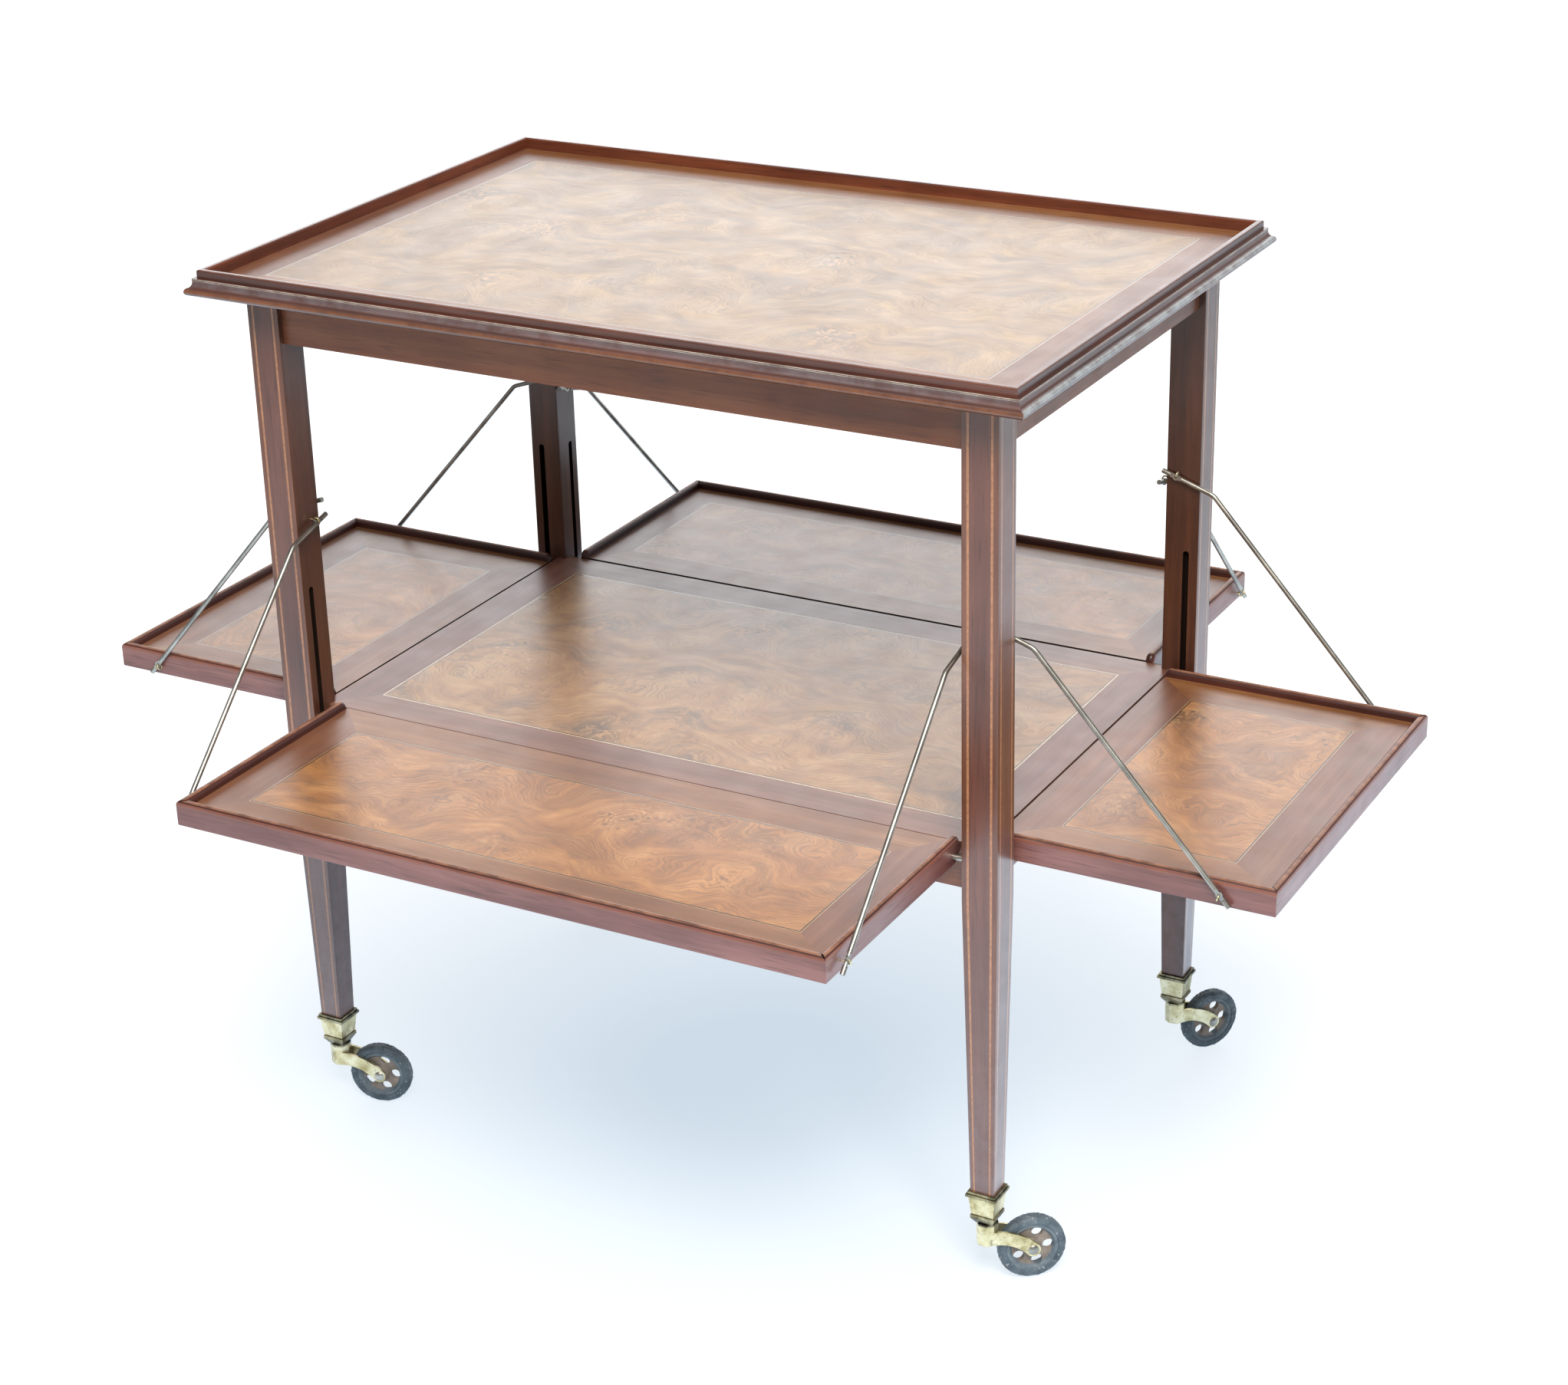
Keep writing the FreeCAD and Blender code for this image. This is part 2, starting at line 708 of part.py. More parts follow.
def castor_axle():
    """Rivet through the fork's arms, with a domed head at each end."""
    half = fork_block_size / 2
    head_radius = axle_head_diameter / 2
    sphere_radius = (head_radius ** 2 + axle_head_height ** 2) / (2 * axle_head_height)
    x_range = (castor_trail - axle_head_diameter, castor_trail + axle_head_diameter)
    z_range = (wheel_radius - axle_head_diameter, wheel_radius + axle_head_diameter)
    heads = []
    for sign in (-1, 1):
        middle = Vector(castor_trail, sign * (half + axle_head_height - sphere_radius), wheel_radius)
        y_range = sorted((sign * half, sign * (half + axle_head_height + overrun)))
        heads.append(Part.makeSphere(sphere_radius, middle).common(box(x_range, y_range, z_range)))
    return axle_bar(axle_diameter, half).fuse(heads).removeSplitter()


def castor_place(shape, corner, heading):
    """The castor piece turned to its heading and set under its leg."""
    copy = shape.copy()
    copy.rotate(Vector(), Vector(0, 0, 1), heading)
    sign_x, sign_y = corners[corner]
    copy.translate(Vector(sign_x * castor_x, sign_y * castor_y, 0))
    return copy


# Assembly: every node's name with its shapes

def build():
    """All pieces by node name."""
    nodes = {"tray_board": [tray_board()]}
    blanks = {name: leg_blank(*signs) for name, signs in corners.items()}
    nodes["shelf_panel"] = [shelf_panel(list(blanks.values()))]
    cutters = []
    eyes = []
    blocks = []
    for side in sides:
        spans = (tray_length, tray_depth) if side.is_long else (tray_depth, tray_length)
        nodes["tray_moulding_" + side.name] = [side.place(tray_moulding(*spans))]
        nodes["apron_" + side.name] = [side.place(apron(side))]
        nodes["shelf_rail_" + side.name] = [side.place(shelf_rail(side))]
        nodes["leaf_panel_" + side.name] = [side.place(leaf_panel(side))]
        nodes["leaf_lips_" + side.name] = [side.place(lip) for lip in leaf_lips(side)]
        nodes["leaf_pins_" + side.name] = [side.place(pin) for pin in pivot_pins(side)]
        nodes["stays_" + side.name] = [side.place(rod) for rod in mirrored(stay(side))]
        nodes["stay_eyes_" + side.name] = [side.place(eye) for eye in mirrored(leaf_eye(side))]
        eyes += [side.place(eye) for eye in mirrored(leg_eye(side))]
        blocks += [side.place(block) for block in glue_blocks(side)]
        cutters += nodes["apron_" + side.name] + nodes["shelf_rail_" + side.name]
        cutters += [side.place(cut) for cut in mirrored(pin_groove(side)) + mirrored(leg_eye_hole(side))]
    nodes["leg_eyes"] = eyes
    nodes["glue_blocks"] = blocks
    for name, blank in blanks.items():
        nodes["leg_" + name] = [blank.cut(cutters)]
        for piece in (castor_cup, castor_stem, castor_fork, castor_wheel, castor_axle):
            heading = 0 if piece is castor_cup else castor_headings[name]
            nodes[piece.__name__ + "_" + name] = [castor_place(piece(), name, heading)]
    return nodes


os.makedirs("parts", exist_ok=True)
for node, shapes in build().items():
    whole = shapes[0] if len(shapes) == 1 else Part.makeCompound(shapes)
    whole.exportStep("parts/" + node + ".step")
    state = "valid" if whole.isValid() else "not valid"
    print(node, len(whole.Solids), "solids", round(whole.Volume / 1000, 2), "cm3", state)
for side in sides:
    print(side.name, "pins rise and stays turn when closed:", side.closing())
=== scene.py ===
import bpy
import math
from mathutils import Matrix, Vector


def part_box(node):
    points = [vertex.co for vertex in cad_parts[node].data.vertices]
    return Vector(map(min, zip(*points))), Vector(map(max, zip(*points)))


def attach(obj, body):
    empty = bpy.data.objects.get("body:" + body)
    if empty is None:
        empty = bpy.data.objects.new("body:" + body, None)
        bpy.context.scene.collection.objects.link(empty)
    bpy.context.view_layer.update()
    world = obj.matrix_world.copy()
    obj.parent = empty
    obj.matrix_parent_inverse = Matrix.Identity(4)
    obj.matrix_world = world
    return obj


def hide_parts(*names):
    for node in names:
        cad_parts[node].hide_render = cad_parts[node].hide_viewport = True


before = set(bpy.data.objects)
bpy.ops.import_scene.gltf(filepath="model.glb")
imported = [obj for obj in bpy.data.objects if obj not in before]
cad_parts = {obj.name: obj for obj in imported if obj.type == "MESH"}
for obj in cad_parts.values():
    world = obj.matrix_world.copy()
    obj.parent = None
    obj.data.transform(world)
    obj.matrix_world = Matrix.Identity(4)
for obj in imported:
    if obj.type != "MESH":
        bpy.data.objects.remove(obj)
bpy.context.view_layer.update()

# Drop leaf tea trolley: veneers, inlay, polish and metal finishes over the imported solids.
# Metres, X along the trolley, front at -Y, Z up. Sizes below are in millimetres where they say so.

MM = 0.001
TINY = 1e-5
# Vertices closer than this, in millimetres, are joined
MERGE_REACH = 0.02
# A face or an edge counts as lying along an axis when more than this share of its direction does
ALIGNED = 0.9
TURNS = {"front": 0, "right": 90, "back": 180, "left": 270}
CORNERS = {"front_left": (-1, -1), "front_right": (1, -1), "back_left": (-1, 1), "back_right": (1, 1)}

# Inlay, in millimetres: crossbands on the left, right, front and back of each board, then the string lines
TRAY_BANDS = (33.0, 34.5, 33.0, 34.5)
SHELF_BANDS = (37.5, 35.5, 35.0, 35.5)
LEAF_BANDS = {
    "front": (36.5, 33.0, 29.5, 38.0),
    "right": (39.0, 40.5, 36.0, 37.0),
    "back": (29.0, 33.0, 38.0, 30.0),
    "left": (42.0, 39.0, 34.5, 43.5),
}
DARK_LINE = 1.1
TRAY_PALE_LINE = 1.0
SHELF_PALE_LINE = 1.3
LEAF_PALE_LINE = 0.8
# Eased edges of the leaves at the shelf, painted near black: dirt and a painted shade of the gap; the front
# leaf's joint is tight and clean
JOINT_EDGES = {"front": 0.0, "right": 1.1, "back": 2.6, "left": 1.1}

# Leaf lips, in millimetres
LIP_WIDTH = 7.6
LIP_TOP_ROUND = 3.6
LIP_END_ROUND = 6.0
LIP_FOOT_ROUND = 1.1
LIP_SLANT_LENGTH = 9.3
LIP_SLANT_HEIGHT = 3.56

# Legs, in millimetres
LEG_SIZE = 30.5
FOOT_SIZE = 21.0
SPIGOT_SIZE = 15.6
TAPER_START = 354.0
FOOT_HEIGHT = 89.0
SPIGOT_LENGTH = 22.0
OUTER_TAPER = 3.8
STRING_INSET = 4.4
STRING_WIDTH = 2.0
LEG_EDGE_ROUND = 0.7
GROOVE_SETBACK = 11.0
GROOVE_WIDTH = 5.6
GROOVE_END_ROUND = 0.49 * GROOVE_WIDTH
GROOVE_DEPTH = 7.0
GROOVE_LOW = 381.4
GROOVE_HIGH = 505.0

# Castors: headings in degrees and sizes in millimetres. The profile's pairs of radius and half thickness
# run from the tyre's side in to the bore; rim and web begin at these steps of it.
CASTOR_HEADINGS = {"front_left": 17.0, "front_right": 39.0, "back_left": 28.0, "back_right": 55.0}
TYRE_WIDTH = 11.0
TYRE_SHOULDER = 3.0
WHEEL_PROFILE = ((22.3, 5.5), (21.4, 4.6), (19.2, 4.6), (17.2, 2.2), (8.0, 2.2), (6.0, 5.9), (2.6, 5.9))
RIM_STEP = 1
WEB_STEP = 3
WHEEL_FACETS = 144
TREAD_CUTS = (-1.6, -0.8, 0.0, 0.8, 1.6)
TREAD_START = 26.3
CRUMB_SIZE = 2.2
CRUMB_DEPTH = 1.3
HOLE_COUNT = 5
HOLE_RADIUS = 4.8
HOLE_FACETS = 32
HOLE_CIRCLE = 13.7

# Camera solved from the photograph: place and reach in metres, lens and sensor in millimetres
CAMERA_PLACE = Vector((1.23629, -2.14115, 1.47890))
CAMERA_AIM = Vector((-0.44775, 0.79715, -0.40505))
CAMERA_UP = Vector((-0.17546, 0.36586, 0.91398))
CAMERA_LENS = 71.49
CAMERA_REACH = 100.0
SENSOR_WIDTH = 36.0


# Colours and shader nodes

def tone(code):
    """Linear colour of an sRGB hex value."""
    parts = [int(code[i:i + 2], 16) / 255 for i in (0, 2, 4)]
    linear = [c / 12.92 if c <= 0.04045 else ((c + 0.055) / 1.055) ** 2.4 for c in parts]
    return (*linear, 1.0)


def connect(tree, node, inputs):
    """Gives each input of a node its value, or links it to another node's output."""
    for socket, value in inputs.items():
        if isinstance(value, bpy.types.NodeSocket):
            tree.links.new(value, node.inputs[socket])
        else:
            node.inputs[socket].default_value = value


def add(tree, kind, inputs=None, **settings):
    """Adds a node with its settings and inputs."""
    made = tree.nodes.new("ShaderNode" + kind)
    for name, value in settings.items():
        setattr(made, name, value)
    connect(tree, made, inputs or {})
    return made


def new_material(name):
    """Material with a bare Principled shader; returns it, its tree, the shader and places on the object."""
    material = bpy.data.materials.new(name)
    material.use_nodes = True
    tree = material.node_tree
    place = add(tree, "TexCoord").outputs["Object"]
    return material, tree, tree.nodes["Principled BSDF"], place


def per_metre(millimetres):
    """Texture scale whose features are about that long."""
    return 1000.0 / millimetres


def noise(tree, place, size, detail, roughness=0.5, distortion=0.0):
    """Noise with features about size millimetres long; returns its outputs, a level and a colour."""
    inputs = {"Vector": place, "Scale": per_metre(size), "Detail": detail}
    inputs.update({"Roughness": roughness, "Distortion": distortion})
    return add(tree, "TexNoise", inputs).outputs


def span(tree, value, low, high, start=0.0, end=1.0):
    """Takes a value between low and high to one between start and end, and holds it there beyond."""
    return add(tree, "MapRange", {0: value, 1: low, 2: high, 3: start, 4: end}).outputs[0]


def calculate(tree, operation, *values):
    """Result of a sum on up to three values."""
    return add(tree, "Math", dict(enumerate(values)), operation=operation).outputs[0]


def strayed(tree, place, aside, reach):
    """Places moved aside by a noise's colour, as far as reach says in metres."""
    return add(tree, "VectorMath", {0: aside, 1: reach, 2: place}, operation="MULTIPLY_ADD").outputs[0]


def relief(tree, height, strength, depth, sunken=False):
    """Small unevenness of a surface; the depth is in millimetres."""
    inputs = {"Height": height, "Strength": strength, "Distance": depth * MM}
    return add(tree, "Bump", inputs, invert=sunken).outputs[0]


def ramp(tree, factor, stops):
    """Colours along a factor: pairs of position and hex value."""
    made = add(tree, "ValToRGB", {0: factor})
    elements = made.color_ramp.elements
    while len(elements) < len(stops):
        elements.new(0.5)
    for element, (position, code) in zip(elements, stops):
        element.position = position
        element.color = tone(code)
    return made.outputs[0]


def shades(dark, middle, pale, reach=0.2):
    """Three colours for a ramp, the outer two as far from the middle as reach says."""
    return ((0.5 - reach, dark), (0.5, middle), (0.5 + reach, pale))


def blend_colours(tree, mode, factor, first, second):
    """Mix node for two colours; either may be a hex value."""
    inputs = {0: factor}
    for socket, value in ((6, first), (7, second)):
        inputs[socket] = tone(value) if isinstance(value, str) else value
    return add(tree, "Mix", inputs, data_type="RGBA", blend_type=mode).outputs[2]


# Woods: the boards' polish is softened by use, that of the frame is sharper

BOARD_COAT_ROUGHNESS = 0.36
FRAME_COAT_ROUGHNESS = 0.26
STRING_COAT_ROUGHNESS = 0.2

# Burr figure: sizes in millimetres, and how far the flow of the grain is bent aside, in metres
WAVER_SIZE = 110
WAVER_REACH = (0.06, 0.06, 0.0)
BURR_SPACING = 105
RIPPLE_SIZE = 15
FLOW_BY_WAVER = 0.16
FLOW_BY_BURR = 0.10
FLOW_BY_RIPPLE = 0.010
STREAK_SHARE = 2.0
GROUND_SIZE = 55
SMOKE_SIZE = 85
CURL_SIZE = 12
PIP_SPACING = 10
PIP_WOBBLE_SIZE = 9
PIP_WOBBLE_REACH = (0.008, 0.006, 0.0)
BURR_WEAR_SIZE = 30
# At this scale the wave texture repeats once to the metre
WAVE_PER_METRE = 0.1 * math.pi
# Growth lines: spacing and reach in millimetres, where the wave's crest begins, and strength
BURR_LINES = ((5.6, 40, 0.55, 0.42), (2.4, 15, 0.45, 0.5))
BURR_LINE = "5E3A1E"
BURR_PIP = "3A2414"
BURR_CURL = "DCA86C"
BURR_SMOKE = "554639"

# Straight wood, sizes in millimetres: along the grain everything is drawn out twenty times.
# Real pores are 0.2 mm wide; they are drawn 0.8 mm wide so that they show.
GRAIN_STRETCH = 0.05
RIBBON_SIZE = 12
PORE_SIZE = 1.6
PATCH_SIZE = 90
PATCH_TINT = "C4B0A4"
WOOD_WEAR_SIZE = 25
CHIP_SIZE = 16
STRING_GRAIN_SIZE = 3.0
RELIEF_DEPTH = 0.2


def tinted_by_height(tree, place, colour, wear):
    """Bands of colour by height, for wear, dust, dirt, darker bands and painted highlights: middle, full
    reach and end of reach in mm, a colour and a strength.
    """
    height = add(tree, "SeparateXYZ", {"Vector": place}).outputs["Z"]
    patchy = span(tree, noise(tree, place, CHIP_SIZE, 4.0, 0.65)[0], 0.36, 0.6, 0.4, 1.0)
    for middle, full, none, code, strength in wear:
        off = calculate(tree, "SUBTRACT", height, middle * MM)
        off = calculate(tree, "ABSOLUTE", off)
        reach = span(tree, off, full * MM, none * MM, strength, 0.0)
        share = calculate(tree, "MULTIPLY", reach, patchy)
        colour = blend_colours(tree, "MIX", share, colour, code)
    return colour


def burr_veneer(name, ground_stops, smoke_level, line_level, shift):
    """Burr elm veneer, french polished: fine lines flow round burrs with pale curls and dark pips."""
    material, tree, shader, place = new_material(name)
    place = add(tree, "Mapping", {"Vector": place, "Location": shift}).outputs[0]
    waver = noise(tree, place, WAVER_SIZE, 3.0, 0.45)
    sway = strayed(tree, place, waver[1], WAVER_REACH)
    # The flow of the grain is the same along a line that goes round the burrs
    burrs = add(tree, "TexVoronoi", {"Vector": sway, "Scale": per_metre(BURR_SPACING), "Smoothness": 0.7},
                feature="SMOOTH_F1").outputs["Distance"]
    near_burr = span(tree, burrs, 0.08, 0.36, 1.0, 0.0)
    ripple = noise(tree, sway, RIPPLE_SIZE, 3.0, 0.6)[0]
    along, flow = add(tree, "SeparateXYZ", {"Vector": sway}).outputs[:2]
    for bend, reach in ((waver[0], FLOW_BY_WAVER), (burrs, FLOW_BY_BURR), (ripple, FLOW_BY_RIPPLE)):
        flow = calculate(tree, "MULTIPLY_ADD", bend, reach, flow)
    # Golden ground with smoky grey brown patches about the burrs, half as wide across the flow as along it
    narrow = calculate(tree, "MULTIPLY", flow, STREAK_SHARE)
    streak = add(tree, "CombineXYZ", {"X": along, "Y": narrow}).outputs[0]
    colour = ramp(tree, noise(tree, streak, GROUND_SIZE, 7.0, 0.65)[0], ground_stops)
    smoke = noise(tree, streak, SMOKE_SIZE, 8.0, 0.7)[0]
    smoke = calculate(tree, "MULTIPLY_ADD", near_burr, 0.12, smoke)
    smoke = span(tree, smoke, 0.52, 0.72, 0.0, smoke_level)
    colour = blend_colours(tree, "MIX", smoke, colour, BURR_SMOKE)
    # Pale curls crowd in the burrs
    curl = span(tree, noise(tree, sway, CURL_SIZE, 6.0, distortion=2.2)[0], 0.50, 0.62, 0.0, 0.7)
    curl = calculate(tree, "MULTIPLY", curl, near_burr)
    colour = blend_colours(tree, "MIX", curl, colour, BURR_CURL)
    # Growth lines follow the flow and come and go, the coarse ones over a longer reach than the fibres
    drawn = add(tree, "CombineXYZ", {"X": flow}).outputs[0]
    for spacing, reach, crest, strength in BURR_LINES:
        scale = WAVE_PER_METRE * per_metre(spacing)
        wave = add(tree, "TexWave", {"Vector": drawn, "Scale": scale}).outputs[1]
        wave = span(tree, wave, crest, 1.0, 0.0, strength * line_level)
        comes = span(tree, noise(tree, sway, reach, 4.0)[0], 0.38, 0.62)
        lines = calculate(tree, "MULTIPLY", wave, comes)
        colour = blend_colours(tree, "MIX", lines, colour, BURR_LINE)
    # Dark pips of 2 to 4 mm sit in the burrs
    wobble = noise(tree, place, PIP_WOBBLE_SIZE, 2.0)[1]
    pip_place = strayed(tree, place, wobble, PIP_WOBBLE_REACH)
    pips = add(tree, "TexVoronoi", {"Vector": pip_place, "Scale": per_metre(PIP_SPACING)})
    eyes = span(tree, pips.outputs["Distance"], 0.12, 0.24, 0.9, 0.0)
    eyes = calculate(tree, "MULTIPLY", eyes, near_burr)
    colour = blend_colours(tree, "MIX", eyes, colour, BURR_PIP)
    rough = span(tree, noise(tree, place, BURR_WEAR_SIZE, 4.0)[0], 0.3, 0.7, 0.30, 0.42)
    connect(tree, shader, {
        "Base Color": colour,
        "Roughness": rough,
        "Normal": relief(tree, lines, 0.06, RELIEF_DEPTH, sunken=True),
        "Coat Weight": 1.0,
        "Coat Roughness": BOARD_COAT_ROUGHNESS,
    })
    return material


def polished_wood(name, grain, ribbon_stops, pore, roughness=0.4, coat=1.0, wear=(),
                  coat_roughness=FRAME_COAT_ROUGHNESS, sheen=0.5):
    """Straight wood along one axis: soft ribbon tones and short dark pores under french polish."""
    material, tree, shader, place = new_material(name)
    stretch = [GRAIN_STRETCH if axis == grain else 1.0 for axis in "xyz"]
    along = add(tree, "Mapping", {"Vector": place, "Scale": stretch}).outputs[0]
    colour = ramp(tree, noise(tree, along, RIBBON_SIZE, 6.0, 0.55)[0], ribbon_stops)
    pores = span(tree, noise(tree, along, PORE_SIZE, 1.0)[0], 0.56, 0.72, 0.0, 0.45)
    colour = blend_colours(tree, "MIX", pores, colour, pore)
    patches = span(tree, noise(tree, place, PATCH_SIZE, 4.0)[0], 0.38, 0.66, 0.0, 0.5)
    colour = blend_colours(tree, "MULTIPLY", patches, colour, PATCH_TINT)
    if wear:
        colour = tinted_by_height(tree, place, colour, wear)
    rough = noise(tree, place, WOOD_WEAR_SIZE, 4.0)[0]
    connect(tree, shader, {
        "Base Color": colour,
        "Roughness": span(tree, rough, 0.3, 0.7, roughness - 0.06, roughness + 0.08),
        "Normal": relief(tree, pores, 0.1, RELIEF_DEPTH, sunken=True),
        "Coat Weight": coat,
        "Coat Roughness": coat_roughness,
        "Specular IOR Level": sheen,
    })
    return material


def wood_pair(name, *look, **settings):
    """The same wood twice, with its grain along X and along Y."""
    return [polished_wood(name + "_" + axis, axis, *look, **settings) for axis in "xy"]


def plain_line(name, light, dark):
    """Stringing: a thin strip of one wood, with a faint grain."""
    material, tree, shader, place = new_material(name)
    grain = noise(tree, place, STRING_GRAIN_SIZE, 3.0)[0]
    connect(tree, shader, {
        "Base Color": ramp(tree, grain, ((0.35, dark), (0.65, light))),
        "Roughness": 0.4,
        "Coat Weight": 1.0,
        "Coat Roughness": STRING_COAT_ROUGHNESS,
    })
    return material


# Metals and rubber, sizes in millimetres

BRASS_STOPS = shades("A69A6E", "CCC29A", "E0DABC", 0.16)
BRASS_SPECK = "6A6144"
BRASS_PATCH_SIZE = 13
BRASS_SPECK_SIZE = 4
BRASS_RELIEF_DEPTH = 0.3
# Darker bands on the castors: grime on the cup's stepped flange and its ridge, and darker below it and where
# the fork leaves its block
BRASS_DARK_BANDS = (
    (87.2, 2.6, 4.0, "3C3C2E", 0.92),
    (65.2, 1.4, 2.4, "4A4636", 0.8),
    (59.8, 3.0, 4.6, "2E2C28", 0.92),
)
STEEL_PATCH_SIZE = 22
RUBBER_PATCH_SIZE = 12
RUBBER_CRUMB_SIZE = 2.6
RUBBER_CRUMB = "B9C3C6"
RUBBER_RELIEF_DEPTH = 0.5


def aged_brass():
    """Cast brass, once lacquered: pale yellow where hands rub it, olive grime in steps, and darker under the
    cup.
    """
    material, tree, shader, place = new_material("brass_aged")
    colour = ramp(tree, noise(tree, place, BRASS_PATCH_SIZE, 5.0, 0.6)[0], BRASS_STOPS)
    grime = span(tree, noise(tree, place, BRASS_SPECK_SIZE, 4.0, 0.7)[0], 0.56, 0.72, 0.0, 0.6)
    colour = blend_colours(tree, "MIX", grime, colour, BRASS_SPECK)
    connect(tree, shader, {
        "Base Color": tinted_by_height(tree, place, colour, BRASS_DARK_BANDS),
        "Roughness": span(tree, grime, 0.0, 1.0, 0.38, 0.6),
        "Normal": relief(tree, grime, 0.2, BRASS_RELIEF_DEPTH),
        "Metallic": 0.9,
    })
    return material


def steel_wire():
    """Drawn steel wire, smooth and slightly greyed, so that it shows long clean highlights."""
    material, tree, shader, place = new_material("steel_wire")
    patches = noise(tree, place, STEEL_PATCH_SIZE, 2.0)[0]
    connect(tree, shader, {
        "Base Color": ramp(tree, patches, ((0.35, "8C8A84"), (0.65, "B4B2AA"))),
        "Metallic": 0.95,
        "Roughness": 0.38,
    })
    return material


def old_rubber(name, bloom_stops, crumb_level):
    """Old moulded rubber: dull, with a bloom in patches and pale crumbs where it breaks up."""
    material, tree, shader, place = new_material(name)
    patches = noise(tree, place, RUBBER_PATCH_SIZE, 5.0, 0.6)[0]
    colour = ramp(tree, patches, bloom_stops)
    crumbs = span(tree, noise(tree, place, RUBBER_CRUMB_SIZE, 3.0)[0], 0.62, 0.72, 0.0, crumb_level)
    connect(tree, shader, {
        "Base Color": blend_colours(tree, "MIX", crumbs, colour, RUBBER_CRUMB),
        "Roughness": 0.6,
        "Normal": relief(tree, patches, 0.3, RUBBER_RELIEF_DEPTH),
    })
    return material


# Modelling by hand

SMOOTH_ANGLE = math.radians(40)


def done_editing():
    """Back to object mode."""
    bpy.ops.object.mode_set(mode="OBJECT")


def clear_selection():
    """Leaves nothing selected and no piece in edit mode."""
    if bpy.context.object and bpy.context.object.mode != "OBJECT":
        done_editing()
    bpy.ops.object.select_all(action="DESELECT")


def take(piece):
    """Makes a piece the only one selected and active."""
    clear_selection()
    piece.select_set(True)
    bpy.context.view_layer.objects.active = piece


def block(name, low, high):
    """Cube between two corners, its place and size in its mesh."""
    clear_selection()
    low = Vector(low)
    high = Vector(high)
    bpy.ops.mesh.primitive_cube_add(size=1.0, location=(low + high) / 2)
    piece = bpy.context.object
    piece.name = name
    piece.data.name = name
    piece.scale = high - low
    bpy.ops.object.transform_apply(location=True, rotation=True, scale=True)
    return piece


def pick(piece, kind, chosen):
    """Selects in edit mode the faces, edges or vertices for which chosen(place, direction) holds.

    The direction is the normal of a face or vertex, and the way along an edge.
    """
    take(piece)
    mesh = piece.data
    for group in (mesh.vertices, mesh.edges, mesh.polygons):
        group.foreach_set("select", [False] * len(group))
    if kind == "FACE":
        for face in mesh.polygons:
            face.select = chosen(face.center, face.normal)
    if kind == "VERT":
        for vertex in mesh.vertices:
            vertex.select = chosen(vertex.co, vertex.normal)
    if kind == "EDGE":
        for edge in mesh.edges:
            ends = [mesh.vertices[i].co for i in edge.vertices]
            edge.select = chosen((ends[0] + ends[1]) / 2, (ends[1] - ends[0]).normalized())
    bpy.ops.object.mode_set(mode="EDIT")
    bpy.ops.mesh.select_mode(type=kind)


def pick_all(piece):
    """Selects all of a piece in edit mode."""
    pick(piece, "FACE", lambda place, normal: True)


def slice_through(piece, place, way, **settings):
    """Cuts a piece's faces along the plane that goes through a place, square to a way."""
    pick_all(piece)
    bpy.ops.mesh.bisect(plane_co=place, plane_no=way, **settings)
    done_editing()


def ease(piece, chosen, size, segments, **settings):
    """Bevels the edges for which chosen(place, way) holds; the size is in millimetres."""
    pick(piece, "EDGE", chosen)
    bpy.ops.mesh.bevel(offset=size * MM, segments=segments, **settings)
    done_editing()


def shift_points(piece, chosen, way):
    """Moves the vertices for which chosen(place, normal) holds."""
    pick(piece, "VERT", chosen)
    bpy.ops.transform.translate(value=way)
    done_editing()


def merge_doubles(piece):
    """Joins vertices that lie on each other."""
    pick_all(piece)
    bpy.ops.mesh.remove_doubles(threshold=MERGE_REACH * MM)
    done_editing()


def extrude_picked(way):
    """Extrudes the picked faces along a way."""
    bpy.ops.mesh.extrude_region_move(TRANSFORM_OT_translate={"value": way})


def apply_modifier(piece, kind, **settings):
    """Adds a modifier with its settings and applies it."""
    take(piece)
    modifier = piece.modifiers.new(kind.lower(), kind)
    for name, value in settings.items():
        setattr(modifier, name, value)
    bpy.ops.object.modifier_apply(modifier=modifier.name)


def smooth(piece):
    """Shades round forms smooth and keeps large flats flat."""
    take(piece)
    bpy.ops.object.shade_smooth_by_angle(angle=SMOOTH_ANGLE)
    apply_modifier(piece, "WEIGHTED_NORMAL", keep_sharp=True)


def cut_away(piece, cutter):
    """Takes a cutter out of a piece and removes the cutter."""
    apply_modifier(piece, "BOOLEAN", object=cutter, operation="DIFFERENCE", solver="EXACT")
    bpy.data.objects.remove(cutter, do_unlink=True)


def settle(piece, matrix):
    """Moves a piece and puts its place into its mesh."""
    take(piece)
    piece.matrix_world = matrix
    bpy.ops.object.transform_apply(location=True, rotation=True, scale=True)


def paint(piece, materials, choose):
    """Gives a piece its materials; choose(place, normal) names the index of each face."""
    piece.data.materials.clear()
    for material in materials:
        piece.data.materials.append(material)
    for face in piece.data.polygons:
        face.material_index = choose(face.center, face.normal)


def dress(node, material):
    """Gives a CAD node one material."""
    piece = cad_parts[node]
    piece.data.materials.clear()
    piece.data.materials.append(material)


# Finishes: the tray's burr is greyest and the leaves' is most golden

LEAF_BURR_STOPS = shades("96602E", "B0763C", "C88E52", 0.16)
SHELF_BURR_STOPS = shades("946638", "AE7F4B", "C29862", 0.16)
TRAY_BURR_STOPS = shades("84603A", "A07A48", "B8925A", 0.16)
burr_tray = burr_veneer("burr_elm_tray", TRAY_BURR_STOPS,
                        smoke_level=0.7, line_level=0.9, shift=(0.31, 0.12, 0.0))
burr_shelf = burr_veneer("burr_elm_shelf", SHELF_BURR_STOPS,
                         smoke_level=0.8, line_level=1.0, shift=(0.0, 0.27, 0.0))
burr_leaf = burr_veneer("burr_elm_leaf", LEAF_BURR_STOPS,
                        smoke_level=0.6, line_level=1.0, shift=(0.0, 0.0, 0.0))

